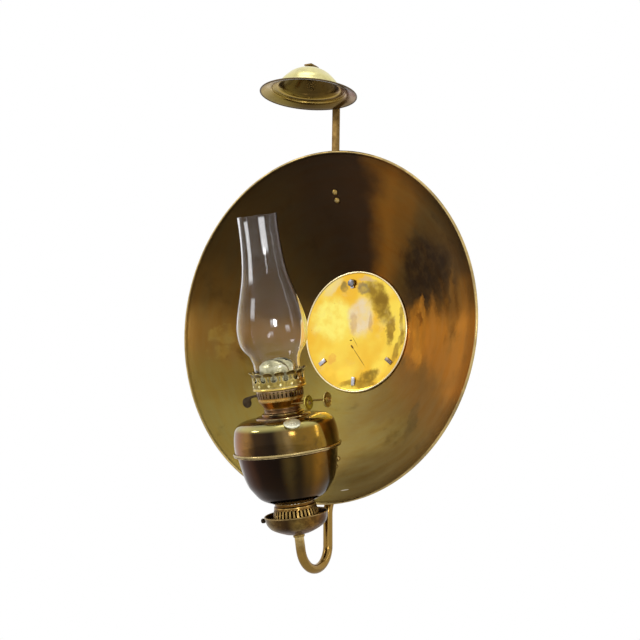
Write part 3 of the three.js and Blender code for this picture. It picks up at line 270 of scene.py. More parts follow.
@effect({"Turn": 0.25, "Half Width": 0.02, "Low": 0.3, "High": 0.4})
def gleam(spot, given):
    """A tall soft strip down a turned piece, between two heights."""
    axes = placed(round_coordinates, spot)
    drift = less(noise(spot, 25, 2), 0.5)
    turn = maths("MULTIPLY_ADD", drift, 0.02, axes["Turn"])
    aside = maths("ABSOLUTE", less(turn, given["Turn"]))
    strip = eased(maths("DIVIDE", aside, given["Half Width"]), 0.55, 1, 1, 0)
    over = eased(less(axes["Height"], given["Low"]), 0, 0.012)
    under = eased(less(given["High"], axes["Height"]), 0, 0.004)
    return {"Mask": times(strip, times(over, under))}


# Finishes. The frame has materials of its own, so these are kept by name in a table.

FINISHES = {}


def started(name):
    """A new material's shader and its object coordinates."""
    material = FINISHES[name] = bpy.data.materials.new(name)
    material.use_nodes = True
    tree = material.node_tree
    tree.nodes.clear()
    shader = tree.nodes.new("ShaderNodeBsdfPrincipled")
    add("OutputMaterial", {0: shader.outputs[0]})
    return shader, add("TexCoord", tree=tree)["Object"]


def centred(spot, place):
    """Object coordinates seen from a piece's own frame."""
    values = {"Vector": spot, "Location": place.to_translation(), "Rotation": place.to_euler()}
    return add("Mapping", values, vector_type="TEXTURE")[0]


def ringed(spot, turn, zones, waver):
    """Zones of colour round a piece, as (turn, colour) pairs. The first colour closes the circle."""
    drift = less(noise(spot, 14, 3), 0.5)
    swing = maths("FRACT", maths("MULTIPLY_ADD", drift, waver, turn))
    ramp = spot.id_data.nodes.new("ShaderNodeValToRGB")
    ramp.color_ramp.interpolation = "EASE"
    stops = ramp.color_ramp.elements
    stops[0].color = stops[1].color = colour(zones[0][1])
    for stop, code in zones[1:]:
        stops.new(stop).color = colour(code)
    return filled(ramp, {0: swing})[0]


def blotted(spot, base, blots, waver, edge):
    """Lays soft patches over a colour. Each has its middle and half lengths across the wall's plane, in
    millimetres, its turn in degrees, its colour and how strongly it covers."""
    for x, z, half_long, half_short, degrees, code, share in blots:
        tilt = Matrix.Rotation(math.radians(-degrees), 3, "Y")
        values = {"Middle": (x * MM, 0, z * MM), "Waver": waver, "Edge": edge,
                  "Long": tilt @ Vector((1, 0, 0)) / (half_long * MM),
                  "Short": tilt @ Vector((0, 0, 1)) / (half_short * MM)}
        base = tinted(times(placed(blot, spot, values)["Mask"], share), base, code)
    return base


def scratched(spot, base, scuffs):
    """Draws scratches on a colour, each with its ends, width and colour."""
    for start, end, width, code in scuffs:
        base = tinted(placed(scuff, spot, {"From": start, "To": end, "Width": width})["Mask"], base, code)
    return base


def brass(name, place, zones, tarnish, worn, cover, patch, rough, waver=0.05, rings=900,
          ring_depth=0.00006, dent=0, dent_size=0.05, spots=0.5, wear=0.7, streak=0.22, coat=0,
          bands=(), blots=(), scuffs=()):
    """A metal finish: its colour or zones of colour, bands at a height, blots at a place, wiping marks,
    tarnish, spots, rubbed edges and scratches. On some finishes the zones, bands and blots are painted
    reflections, highlights and shade."""
    shader, here = started(name)
    spot = centred(here, place)
    axes = placed(round_coordinates, spot)
    marks = placed(turning_marks, spot, {"Rings per Metre": rings})
    base = colour(zones) if isinstance(zones, str) else ringed(spot, axes["Turn"], zones, waver)
    for start, full, end, code, share in bands:
        rise = eased(axes["Height"], start, full, 0, share)
        fall = eased(axes["Height"], full, end, 1, 0)
        base = tinted(times(rise, fall), base, code)
    base = blotted(here, base, blots, 0.05, 0.32)
    base = tinted(eased(marks["Wipes"], 0.3, 0.7, 0, streak), base, worn, "SOFT_LIGHT")
    cloud = placed(patina, spot, {"Size": patch, "Cover": cover})["Mask"]
    base = tinted(times(cloud, 0.6), base, tarnish)
    base = tinted(times(placed(flecks, spot)["Mask"], spots), base, tarnish)
    rubbed = placed(edge_wear, spot, {"Amount": wear})["Mask"]
    base = scratched(here, tinted(rubbed, base, worn), scuffs)
    haze = plus(eased(marks["Wipes"], 0.3, 0.75, *rough), times(cloud, 0.12))
    height = times(marks["Rings"], ring_depth)
    if dent:
        height = maths("MULTIPLY_ADD", noise(spot, 1 / dent_size, 1.5), dent, height)
    filled(shader, {"Base Color": base, "Metallic": 1, "Coat Weight": coat, "Coat Roughness": 0.06,
                    "Roughness": less(haze, times(rubbed, 0.08)), "Normal": bump(height)})


# Painted reflections of the room in the reflector, as zones of colour from its left side round by the top and
# the right
DISH_REFLECTION_ZONES = [
    (0, "7a5c2c"), (0.05, "523d1c"), (0.11, "403119"), (0.17, "372a17"), (0.225, "322518"),
    (0.285, "38281a"), (0.33, "84581f"), (0.385, "5a4420"), (0.445, "543e20"), (0.475, "865c22"),
    (0.515, "c88630"), (0.555, "ba7e32"), (0.59, "886634"), (0.66, "7e6838"), (0.73, "857342"),
    (0.81, "948546"), (0.9, "84743c"), (0.955, "786430"),
]

# The font, cup and foot: dark brown, with warmer and olive bands round the font that are painted reflections
FONT_REFLECTION_ZONES = [
    (0, "3e2413"), (0.1, "3e2418"), (0.17, "4c2e22"), (0.205, "402616"), (0.245, "22150e"),
    (0.31, "1a110b"), (0.345, "483a1c"), (0.375, "2c2210"), (0.41, "5a4218"), (0.45, "8c6220"),
    (0.49, "6e5020"), (0.52, "302610"), (0.56, "6a5418"), (0.65, "4e3618"), (0.75, "3c2413"),
    (0.87, "4a2e1e"),
]
# Painted reflections round the shoulder, in zones of dark brown, warm and olive
SHOULDER_REFLECTION_ZONES = [
    (0, "4a2c17"), (0.1, "5a3a22"), (0.17, "86562e"), (0.215, "8a6432"), (0.25, "362614"), (0.3, "251a0e"),
    (0.33, "5c4a28"), (0.35, "7c663e"), (0.375, "6a5220"), (0.42, "785a20"), (0.465, "856620"),
    (0.495, "776a3a"), (0.515, "54420f"), (0.545, "8a6c14"), (0.58, "c99a1e"), (0.65, "6a481c"),
    (0.75, "4a2e17"), (0.87, "52341e"),
]
# Painted light and shade round the inside of the bell, lightest towards its left
BELL_INSIDE_LIGHT_ZONES = [
    (0, "94803a"), (0.097, "c0a456"), (0.17, "a68838"), (0.24, "6e5622"), (0.29, "302412"),
    (0.42, "281d12"), (0.5, "402a18"), (0.56, "7c4a30"), (0.61, "ac9070"), (0.68, "7a6028"), (0.85, "5c4a22"),
]
CUP_ZONES = [
    (0, "564026"), (0.1, "6a5430"), (0.17, "806a3e"), (0.24, "5e4828"), (0.3, "3c2c1a"), (0.36, "7c6636"),
    (0.43, "84622e"), (0.5, "704e2a"), (0.56, "4c3820"), (0.75, "564026"),
]

# Bands round a piece: where each starts, is full and ends, its colour and how strongly it covers
# Inside the bell: two pale rings that are painted highlights, then darker deeper in
BELL_BANDS = [(0.0044, 0.0052, 0.006, "dcbc66", 0.85), (0.0076, 0.0084, 0.0092, "c8a850", 0.8),
              (0.0092, 0.013, 1, "3a2c18", 0.6)]
FONT_BANDS = [(0.044, 0.056, 0.108, "2a1e12", 0.65)]
# On the shoulder: a pale painted highlight along its top, then a darker band at the step
SHOULDER_BANDS = [(0.1525, 0.1595, 0.1664, "b3ab6c", 0.85), (0.1661, 0.1682, 0.1695, "5c3a28", 0.8)]
CUP_BANDS = [(-0.001, 0.004, 0.013, "8c5a3e", 0.5)]

# Painted reflections that the reflector catches: a dark shape right of the mirror and warm light beside it;
# and cloudy spots
DISH_REFLECTION_BLOTS = [
    (112, 150, 20, 66, -25, "75511f", 0.6), (141, 74, 50, 50, 20, "2a1c11", 0.88),
    (186, 40, 30, 40, 10, "36250f", 0.55), (118, -8, 20, 42, 0, "d08c2e", 0.75),
    (112, -36, 10, 26, 8, "e0a040", 0.6), (126, 24, 7, 20, -6, "dc9838", 0.5),
    (119, 6, 4, 10, 10, "74400f", 0.7), (150, -12, 12, 46, -4, "cc8a36", 0.55),
    (172, -30, 10, 52, -8, "bc8034", 0.5), (196, 10, 9, 60, -6, "a0702e", 0.45),
    (-214, 8, 11, 12, 0, "948040", 0.5), (-197, 2, 9, 11, 0, "917a3a", 0.5),
    (-206, -24, 12, 13, 0, "8f7a3a", 0.5), (60, -160, 60, 26, 10, "8a7a42", 0.5),
    (124, -142, 10, 30, -20, "5e5030", 0.55),
]

# Pale scuffs on the reflector: their ends, width and colour
PALE_SCUFFS = [
    ((0.021, -0.0872, -0.235), (0.038, -0.0868, -0.2335), 0.0007, "e8e0cc"),
    ((-0.176, -0.0705, -0.095), (-0.148, -0.0555, -0.078), 0.0006, "a8945a"),
]

# Each finish: name, frame, colour or zones, tarnish, worn edges, cover and size of the tarnish,
# roughness where wiped and where dull, and what else sets it apart
brass("dish_front", ROOM, DISH_REFLECTION_ZONES, "2a1d0f", "cdb27a", 0.2, 0.06, (0.36, 0.52), waver=0.07, rings=700,
      dent=0.0012, dent_size=0.09, spots=0.35, streak=0.4, blots=DISH_REFLECTION_BLOTS, scuffs=PALE_SCUFFS)
brass("dish_back", ROOM, "77602f", "42331b", "e2c88c", 0.35, 0.08, (0.36, 0.55), rings=600)
# The rolled rim is painted paler all round, as a painted highlight along the bead
brass("rolled_rim_highlight", ROOM, "b89e64", "5a4628", "e8d6a4", 0.5, 0.05, (0.22, 0.4))
brass("bell_rim", BELL, "4e3e26", "2c2014", "8a7450", 0.4, 0.02, (0.22, 0.4))
brass("bell_outside", BELL, "ddd394", "8a7c45", "fbf6d8", 0.25, 0.03, (0.2, 0.34), rings=260,
      ring_depth=0.00002, spots=0.2)
brass("bell_inside", BELL, BELL_INSIDE_LIGHT_ZONES, "2c1d10", "d6bc78", 0.2, 0.03, (0.16, 0.3), rings=260,
      ring_depth=0.00002, spots=0.2, bands=BELL_BANDS)
brass("strap_brass", ROOM, "604822", "2c1d10", "a88a54", 0.3, 0.03, (0.34, 0.5), rings=400)
brass("tube_brass", ROOM, "8c6e36", "43301a", "e0c88c", 0.3, 0.03, (0.14, 0.28), rings=300)
brass("plate_brass", ROOM, "77592a", "4a361c", "e2c88c", 0.3, 0.08, (0.4, 0.58))
brass("font_brass", LAMP, FONT_REFLECTION_ZONES, "1c100a", "e0c48c", 0.3, 0.04, (0.1, 0.24), waver=0.04, dent=0.0005,
      dent_size=0.05, coat=0.05, bands=FONT_BANDS)
brass("shoulder_brass", LAMP, SHOULDER_REFLECTION_ZONES, "2a170c", "ead39a", 0.3, 0.03, (0.08, 0.18), waver=0.06,
      dent=0.0003, dent_size=0.045, coat=0.12, bands=SHOULDER_BANDS)
brass("seam_brass", LAMP, "b09a66", "6a5430", "f6ecc8", 0.3, 0.02, (0.2, 0.3), rings=120, ring_depth=0,
      spots=0, wear=0.2, streak=0.05)
brass("cup_brass", LAMP, CUP_ZONES, "32200f", "d8b878", 0.5, 0.012, (0.2, 0.36), bands=CUP_BANDS)
brass("foot_brass", LAMP, "6e4e22", "2c1a0c", "ecc878", 0.5, 0.014, (0.16, 0.32), wear=0.8)
brass("collar_copper", LAMP, "745636", "3a2a1e", "dcb88a", 0.5, 0.012, (0.2, 0.38))
brass("cone_copper", LAMP, "a87c34", "64481e", "f0c878", 0.4, 0.014, (0.24, 0.4))
brass("band_brass", LAMP, "684c28", "2e2018", "c8aa80", 0.5, 0.01, (0.14, 0.3), wear=0.6)
brass("burner_brass", LAMP, "a88540", "4a3818", "e2c88c", 0.5, 0.012, (0.28, 0.45))
brass("pip_highlight_brass", LAMP, "e2d28e", "8a7438", "fff8d0", 0.2, 0.01, (0.16, 0.28))
brass("crown_tips_shade", LAMP, "6e5a30", "342814", "e4d490", 0.5, 0.009, (0.2, 0.36))
brass("crown_brass", LAMP, "b29c54", "504020", "fff0b8", 0.5, 0.009, (0.2, 0.36), wear=0.9)
brass("bead_brass", LAMP, "cdb055", "8a6a2a", "fff0b8", 0.3, 0.012, (0.16, 0.3))
brass("dome_brass", LAMP, "c5c096", "77704a", "f4f2dc", 0.45, 0.012, (0.26, 0.42))
brass("cap_brass", LAMP, "f0efd4", "a8a880", "fffff0", 0.3, 0.01, (0.24, 0.4))
brass("front_knob_brass", LAMP, "a08c2c", "544612", "f2e28a", 0.4, 0.008, (0.22, 0.4))
brass("rear_knob_brass", LAMP, "94803c", "4c3c1c", "e8d890", 0.45, 0.008, (0.25, 0.42))
brass("blackened_brass", LAMP, "342a1e", "1a140e", "6a5a44", 0.5, 0.012, (0.3, 0.48))
brass("screw_brass", ROOM, "a3874c", "3c2c16", "e8d8a8", 0.45, 0.004, (0.2, 0.36))
brass("steel", ROOM, "a8a6aa", "5c5a60", "f2f2f8", 0.4, 0.006, (0.2, 0.38))
brass("dark_steel", ROOM, "4c4a50", "141216", "f4f4fa", 0.6, 0.004, (0.12, 0.3), wear=1)
brass("brown_steel", ROOM, "84705c", "4c3c34", "c8bcb0", 0.5, 0.005, (0.3, 0.48))
brass("mirror_rim", ROOM, "f4dca4", "c89a58", "fff6d8", 0.25, 0.02, (0.2, 0.34), rings=200)


# Scratches across the centre disc, then painted reflections and shade on it, with painted shadows round the
# top clip
MIRROR_SCRATCHES = [
    ((-0.0105, 0, -0.0195), (0.0155, 0, -0.054), 0.0004, "5c4020"),
    ((-0.0135, 0, -0.0115), (-0.009, 0, -0.0118), 0.0009, "5c4020"),
    ((-0.0115, 0, -0.0185), (-0.0065, 0, -0.0245), 0.0012, "5c4020"),
    ((-0.0095, 0, -0.0055), (0.001, 0, -0.022), 0.00025, "5c4020"),
]
MIRROR_REFLECTIONS_AND_SHADOWS = [
    (-42, 22, 34, 30, 0, "fff47c", 0.85), (-20, -44, 34, 26, 0, "f8cf52", 0.6),
    (12, -30, 36, 24, 20, "f2bf40", 0.6), (6, 22, 23, 27, 0, "ead6b2", 0.9),
    (-7, 12, 6, 16, 10, "c79a62", 0.55), (25, 14, 4, 14, 0, "b99058", 0.5),
    (36, 52, 24, 16, -55, "8d6c28", 0.9), (46, 30, 11, 26, 24, "8a6a26", 0.9),
    (60, -2, 5.5, 21, -14, "94732c", 0.9), (72, -26, 6, 26, -30, "8f6e2a", 0.75),
    (80, 14, 3.5, 40, -4, "9c7a30", 0.8), (22, -68, 20, 9, 22, "8b6c28", 0.9),
    (4, -79, 34, 5, 0, "8f6a24", 0.7), (-19, 68, 7, 8, 0, "8f7a44", 0.85),
    (12, 64, 10, 8, -20, "8a7a58", 0.85), (22, 76, 16, 4, -12, "d9b98a", 0.8),
    (-40, 68, 18, 7, 35, "ecd79a", 0.7), (-44, -38, 7, 8, 0, "eaa94e", 0.6),
]


def mirror_gold():
    """The centre disc: a bright lacquered gold, unevenly flat, with painted reflections and shadows laid on
    it, and a pale haze in patches.
    """
    shader, spot = started("mirror_gold")
    glow = eased(noise(spot, 17, 2, distortion=0.4), 0.36, 0.64)
    base = blotted(spot, tinted(glow, "f3bd3c", "fbdb58"), MIRROR_REFLECTIONS_AND_SHADOWS, 0.03, 0.3)
    haze = placed(patina, spot, {"Size": 0.03, "Cover": 0.3, "Edge": 0.1})["Mask"]
    base = tinted(times(haze, 0.3), base, "ecd08a")
    base = tinted(times(placed(flecks, spot, {"Spacing": 0.005})["Mask"], 0.6), base, "a87830")
    base = scratched(vectors("MULTIPLY", spot, (1, 0, 1)), base, MIRROR_SCRATCHES)
    rubbed = placed(edge_wear, spot, {"Amount": 0.9})["Mask"]
    filled(shader, {"Base Color": tinted(rubbed, base, "fff0c4"), "Metallic": 1,
                    "Roughness": eased(noise(spot, 60, 5), 0.35, 0.7, 0.08, 0.2),
                    "Normal": bump(times(noise(spot, 22, 1), 0.0008))})


# Painted highlights down the glass, as strips of stronger gloss: turn, half width, low and high ends,
# strength
GLASS_HIGHLIGHT_STRIPS = [
    (0.244, 0.02, 0.352, 0.442, 1), (0.378, 0.03, 0.392, 0.446, 1), (0.262, 0.014, 0.303, 0.337, 0.6),
    (0.36, 0.016, 0.292, 0.306, 0.7), (0.345, 0.012, 0.279, 0.29, 0.7), (0.42, 0.012, 0.282, 0.296, 0.5),
]


def chimney_glass():
    """Clear glass, pulled slightly uneven, with a thin film and tall strips of stronger gloss that are
    painted highlights.
    """
    shader, here = started("chimney_glass")
    spot = centred(here, LAMP)
    film = noise(spot, 30, 5, 0.6)
    gloss = eased(film, 0.4, 0.85, 0, 0.05)
    for turn, half_width, low, high, share in GLASS_HIGHLIGHT_STRIPS:
        values = {"Turn": turn, "Half Width": half_width, "Low": low, "High": high}
        gloss = maths("MULTIPLY_ADD", placed(gleam, spot, values)["Mask"], share, gloss)
    pull = add("Mapping", {"Vector": spot, "Scale": (60, 60, 9)})[0]
    filled(shader, {"Base Color": tinted(film, "fbfaff", "ffffff"), "Coat Weight": gloss, "Coat IOR": 4.6,
                    "Coat Roughness": 0.08, "Transmission Weight": 1, "IOR": 1.2, "Specular IOR Level": 0.14,
                    "Roughness": eased(film, 0.5, 0.85, 0, 0.03),
                    "Normal": bump(times(noise(pull, 1, 1), 0.0003))})


def wick_cotton():
    """Flat woven tape: crossing ribs, with the top scorched."""
    shader, here = started("wick_cotton")
    spot = centred(here, LAMP)
    warp, weft = [add("TexWave", {"Vector": spot, "Scale": scale, "Distortion": waver},
                      bands_direction=axis)[1]
                  for axis, scale, waver in (("X", 420, 0.4), ("Z", 300, 0.6))]
    weave = times(warp, weft)
    scorch = less(noise(spot, 220, 3), 0.5)
    burnt = maths("MULTIPLY_ADD", scorch, 0.004, add("SeparateXYZ", {0: spot})[2])
    base = tinted(eased(burnt, 0.2325, 0.2365), tinted(weave, "a89f88", "eee6d2"), "241a14")
    filled(shader, {"Base Color": base, "Roughness": 0.95, "Sheen Weight": 0.2,
                    "Normal": bump(weave, 0.0003)})


def washer_cork():
    shader, spot = started("washer_cork")
    grain = add("TexVoronoi", {"Vector": spot, "Scale": 900})["Distance"]
    filled(shader, {"Base Color": tinted(grain, "6f5232", "b08a5c"), "Roughness": 0.9,
                    "Normal": bump(grain, 0.0002)})


for make in (mirror_gold, chimney_glass, wick_cotton, washer_cork):
    make()


# Shapes

def flowing(points, steps=5):
    """A smooth path through the given points of a profile."""
    spots = [Vector((r, z, 0)) for r, z in points]
    path = [spots[0]]
    for i, (start, end) in enumerate(zip(spots, spots[1:])):
        before, after = spots[max(i - 1, 0)], spots[min(i + 2, len(spots) - 1)]
        reach = (end - start).length / 3
        leave = start + (end - before).normalized() * reach
        arrive = end - (after - start).normalized() * reach
        path += interpolate_bezier(start, leave, arrive, end, steps + 1)[1:]
    return [(spot.x, spot.y) for spot in path]


def arc(r, z, radius, start, end, steps=8):
    """Points of an arc, its angles in degrees."""
    angles = [math.radians(start + (end - start) * i / steps) for i in range(steps + 1)]
    return [(r + radius * math.cos(a), z + radius * math.sin(a)) for a in angles]


def scaled(shares, radius, height, base=0):
    return [(r * radius, base + z * height) for r, z in shares]


def shifted(path, distance):
    """The same path moved sideways, to its left for a positive distance."""
    moved = []
    for i, spot in enumerate(path):
        here = Vector(spot)
        leave = (Vector(path[i + 1]) - here).normalized() if i < len(path) - 1 else None
        entry = (here - Vector(path[i - 1])).normalized() if i else leave
        leave = leave or entry
        along = (entry + leave).normalized()
        stretch = distance / along.dot(entry)
        moved.append((max(here.x - along.y * stretch, 0), here.y + along.x * stretch))
    return moved


def walled(path, wall):
    """A sheet's closed outline: its outer face, then its inner face one wall to the left."""
    inner = [(0 if path[i][0] == 0 else r, z) for i, (r, z) in enumerate(shifted(path, wall))]
    return [*path, *reversed(inner)]


def spun(outline, steps=96):
    """A closed outline turned once round Z."""
    bm = bmesh.new()
    verts = [bm.verts.new((r * MM, 0, z * MM)) for r, z in outline]
    pairs = zip(verts, [*verts[1:], verts[0]])
    edges = [bm.edges.new(pair) for pair in pairs if pair[0].co.x + pair[1].co.x > 0]
    bmesh.ops.spin(bm, geom=[*verts, *edges], cent=(0, 0, 0), axis=(0, 0, 1), angle=math.tau, steps=steps,
                   use_merge=True)
    bmesh.ops.remove_doubles(bm, verts=bm.verts, dist=1e-6)
    bmesh.ops.dissolve_degenerate(bm, edges=bm.edges, dist=1e-7)
    bmesh.ops.recalc_face_normals(bm, faces=bm.faces)
    return bm


def zoned(bm, zone):
    """Gives each face the finish that zone picks from its radius, height and the way it looks."""
    for face in bm.faces:
        middle = face.calc_center_median()
        out = face.normal.xy.dot(middle.xy.normalized())
        face.material_index = zone(middle.xy.length / MM, middle.z / MM, out, face.normal.z)
    return bm


def slot_cutters(count, width, low, high, inner, outer, turn=0):
    """Round-ended slots standing side by side round Z, as one mesh of cutters."""
    bm = bmesh.new()
    half = width / 2
    ends = [*arc(0, high - half, half, 0, 180, 6), *arc(0, low + half, half, 180, 360, 6)]
    verts = [bm.verts.new((inner * MM, across * MM, up * MM)) for across, up in ends]
    face = bm.faces.new(verts)
    pushed = bmesh.ops.extrude_face_region(bm, geom=[face])["geom"]
    bmesh.ops.translate(bm, verts=[v for v in pushed if isinstance(v, bmesh.types.BMVert)],
                        vec=((outer - inner) * MM, 0, 0))
    bmesh.ops.rotate(bm, verts=bm.verts, matrix=Matrix.Rotation(turn, 3, "Z"))
    around(bm, count)
    bmesh.ops.recalc_face_normals(bm, faces=bm.faces)
    return bm


def around(bm, count):
    """Copies of all of it, evenly round Z."""
    bmesh.ops.spin(bm, geom=[*bm.verts, *bm.edges, *bm.faces], cent=(0, 0, 0), axis=(0, 0, 1),
                   angle=math.tau * (count - 1) / count, steps=count - 1, use_duplicate=True)


def carved(bm, cutter, way="DIFFERENCE"):
    """A closed mesh with another cut away from it, or joined to it."""
    works = []
    for shape in (bm, cutter):
        works.append(stood("work", bpy.data.meshes.new("work")))
        shape.to_mesh(works[-1].data)
        shape.free()
    cut = works[0].modifiers.new("cut", "BOOLEAN")
    cut.operation = way
    cut.object = works[1]
    left = bmesh.new()
    left.from_object(works[0], bpy.context.evaluated_depsgraph_get())
    for work in works:
        bpy.data.meshes.remove(work.data)
    return left


def softened(node, width):
    """A copy of a CAD node's mesh, merged, with its sharp edges rounded over."""
    bm = bmesh.new()
    bm.from_mesh(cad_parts[node].data)
    bmesh.ops.remove_doubles(bm, verts=bm.verts, dist=1e-5)
    bmesh.ops.dissolve_limit(bm, angle_limit=math.radians(2), verts=bm.verts, edges=bm.edges)
    sharp = [e for e in bm.edges if len(e.link_faces) == 2 and e.calc_face_angle(0) > math.radians(30)]
    bmesh.ops.bevel(bm, geom=sharp, offset=width * MM, offset_type="OFFSET", segments=2, profile=0.5,
                    affect="EDGES", material=-1, clamp_overlap=True)
    return bm


def thickened(bm, wall):
    """Gives an open sheet its wall."""
    bmesh.ops.recalc_face_normals(bm, faces=bm.faces)
    bmesh.ops.solidify(bm, geom=bm.faces, thickness=wall * MM)
    return bm


# Edges that bend by more than this, in degrees, are worn or stay sharp
WEAR_FROM, WEAR_SPAN, SHARP_FROM = 10, 30, 35


def piece(name, bm, place, body, slot, finishes, node=None):
    """Sets a mesh down as a piece on its body. How far each point stands on an edge is kept as wear."""
    bm.transform(place)
    worn = bm.verts.layers.float.new("wear")
    for edge in bm.edges:
        if len(edge.link_faces) == 2:
            bend = math.degrees(edge.calc_face_angle_signed(0))
            share = min(max((bend - WEAR_FROM) / WEAR_SPAN, 0), 1)
            for vert in edge.verts:
                vert[worn] = max(vert[worn], share)
    mesh = bpy.data.meshes.new(name)
    bm.to_mesh(mesh)
    bm.free()
    mesh.shade_smooth()
    mesh.set_sharp_from_angle(angle=math.radians(SHARP_FROM))
    for finish in finishes if isinstance(finishes, list) else [finishes]:
        mesh.materials.append(FINISHES[finish])
    made = stood(name, mesh)
    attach(made, body)
    if node:
        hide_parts(node)


HERE = Matrix.Identity(4)


# Reflector and its centre mirror

def dish_face(radius):
    return RIM_PLANE + SLOPE * (RIM_RADIUS - radius)


dish_path = [(0, DISH_FLOOR), (35, DISH_FLOOR),
             *flowing([(70, DISH_FLOOR), (74, DISH_FLOOR - 0.4), (79, -8.6)]),
             *[(radius, dish_face(radius)) for radius in (120, 180, 225, 249)]]
dish_back_path = shifted(dish_path, 1)
dish_outline = [*dish_path, *arc(253, RIM_PLANE, 2, -162, 108, 16), *reversed(dish_back_path)]
dish = zoned(spun(dish_outline, 160), lambda r, z, out, up: 2 if r > 252.3 else int(up > 0))
piece("reflector", dish, ROOM, "wall_bracket", "aged_brass", ["dish_front", "dish_back", "rolled_rim_highlight"],
      "reflector_dish")

MIRROR_PLANE = dish_face(87.9) - 1.8 / math.cos(SLOPE_ANGLE)
hollow = flowing([(0, 4), (20, 3.85), (40, 3.3), (60, 2.2), (74, 0.9), (81, 0.2), (85.6, 0)])
mirror_path = [(r, MIRROR_PLANE + z) for r, z in hollow]
mirror_back = [(r, z + 1) for r, z in mirror_path] + [(86.6, MIRROR_PLANE + 1)]
mirror_outline = [*mirror_path, *arc(87.9, MIRROR_PLANE, 1.5, -165, 105, 12), *reversed(mirror_back)]
mirror = zoned(spun(mirror_outline, 128), lambda r, z, out, up: int(r > 86.3))
piece("centre_mirror", mirror, ROOM, "wall_bracket", "mirror_brass", ["mirror_gold", "mirror_rim"],
      "mirror_disc")


# Smoke bell with its boss and bolt

bell_runs = [
    [(0.985, 0.012), (0.93, 0.024), (0.86, 0.06), (0.8, 0.1), (0.775, 0.135)],
    [(0.775, 0.135), (0.77, 0.17), (0.755, 0.2), (0.735, 0.215)],
    [(0.735, 0.215), (0.69, 0.222), (0.648, 0.245), (0.622, 0.3), (0.6, 0.4), (0.57, 0.49), (0.525, 0.58),
     (0.41, 0.77), (0.335, 0.855), (0.26, 0.92), (0.18, 0.965), (0.09, 0.99), (0, 1)],
]
bell_path = []
for run in bell_runs:
    bell_path += flowing(scaled(run, 69.2, 39.2))[1 if bell_path else 0:]
bell_outline = [*arc(69.2, 0, 1.1, -135, 126, 10), *walled(bell_path, 0.9)]
bell = zoned(spun(bell_outline, 128), lambda r, z, out, up: 2 if r > 68 else int(out + up < 0))
bell = carved(bell, spun([(0, 30), (2.3, 30), (2.3, 44), (0, 44)], 24))
piece("bell", bell, BELL, "wall_bracket", "pale_brass", ["bell_outside", "bell_inside", "bell_rim"],
      "smoke_bell")
boss_path = [(2.3, 39.5), (5, 39.5), *arc(4.4, 41.1, 0.6, 0, 90, 4), (2.3, 41.7)]
piece("bell_top_boss", spun(boss_path, 40), BELL, "wall_bracket", "pale_brass", "bell_outside", "bell_boss")
bolt_path = [*flowing([(0, 35.8), (1.6, 36), (3.3, 36.8), (4, 38)]), (2, 38), (2, 43.5), (1.6, 43.9),
             (0, 43.9)]
piece("bell_hanging_bolt", spun(bolt_path, 40), BELL, "wall_bracket", "pale_brass", "bell_outside",
      "bell_bolt")


# Strap, stay, wall plate, clips, nuts and the other flat pieces keep their CAD shape, with softer edges.
# Each row: how far the edges are rounded, the body, slot and finish, then the nodes.

FLAT_PIECES = {
    (0.35, "wall_bracket", "aged_brass", "strap_brass"): "bell_strap arm_stay",
    (0.4, "wall_bracket", "aged_brass", "plate_brass"): "wall_plate",
    (0.15, "wall_bracket", "aged_brass", "plate_brass"): "plate_rivet_upper plate_rivet_lower",
    (0.15, "wall_bracket", "bright_steel", "steel"): "mirror_tab_top mirror_tab_bottom mirror_tab_left",
    (0.15, "wall_bracket", "bright_steel", "brown_steel"): "mirror_tab_right",
    (0.25, "wall_bracket", "yellow_brass", "screw_brass"):
        "strap_nut_outer strap_nut_inner arm_nut_outer arm_nut_inner",
    (0.12, "burner", "yellow_brass", "burner_brass"): "burner_deck wick_tube_front wick_tube_rear",
    (0.1, "burner", "yellow_brass", "burner_brass"): "air_plate",
    (0.15, "burner", "bright_steel", "steel"): "lever_pin",
    (0.1, "front_winder", "yellow_brass", "burner_brass"): "winder_spindle_front",
    (0.1, "rear_winder", "yellow_brass", "burner_brass"): "winder_spindle_rear",
    (0.3, "lever", "blackened_brass", "blackened_brass"): "extinguisher_lever",
    (0.12, "sleeves", "yellow_brass", "burner_brass"): "extinguisher_sleeves",
    (0.4, "front_wick", "cotton", "wick_cotton"): "wick_front",
    (0.4, "rear_wick", "cotton", "wick_cotton"): "wick_rear",
}
for (width, *where), nodes in FLAT_PIECES.items():
    for node in nodes.split():
        piece(node + "_softened", softened(node, width), HERE, *where, node)


# The screw head on the top mirror clip

clip_screw = bmesh.new()
bmesh.ops.create_cone(clip_screw, cap_ends=True, segments=6, radius1=6.2 * MM, radius2=5.5 * MM, depth=3 * MM)
bmesh.ops.bevel(clip_screw, geom=clip_screw.edges, offset=0.5 * MM, offset_type="OFFSET", segments=3,
                profile=0.5, affect="EDGES", material=-1)
clip_place = turned(-5, "Y") @ Matrix.Translation((0, -0.0179, 0.0725))
piece("top_clip_screw", clip_screw, clip_place @ turned(90, "X"), "wall_bracket",
      "bright_steel", "dark_steel")


# Slotted screws through the reflector's slope

def slope_screw(name, radius, side, end):
    head = flowing([(0, -2.7), (1.8, -2.55), (3.3, -1.9), (4.2, -1), (4.5, -0.3)])
    bm = spun([*head, (2, -0.3), (2, end - 0.4), (1.6, end), (0, end)], 36)
    slot = bmesh.new()  # stands at an angle of its own on each screw
    bmesh.ops.create_cube(slot, size=1)
    slot.transform(Matrix.Diagonal((12 * MM, 0.9 * MM, 1.4 * MM, 1)))
    slot.transform(Matrix.Translation((0, 0, -2.5 * MM)) @ turned(radius, "Z"))
    place = Matrix.Translation((0, dish_face(radius) * MM, side * radius * MM))
    place @= Matrix.Rotation(side * SLOPE_ANGLE - math.pi / 2, 4, "X")
    piece(name + "_slotted", carved(bm, slot), place, "wall_bracket", "yellow_brass", "screw_brass", name)


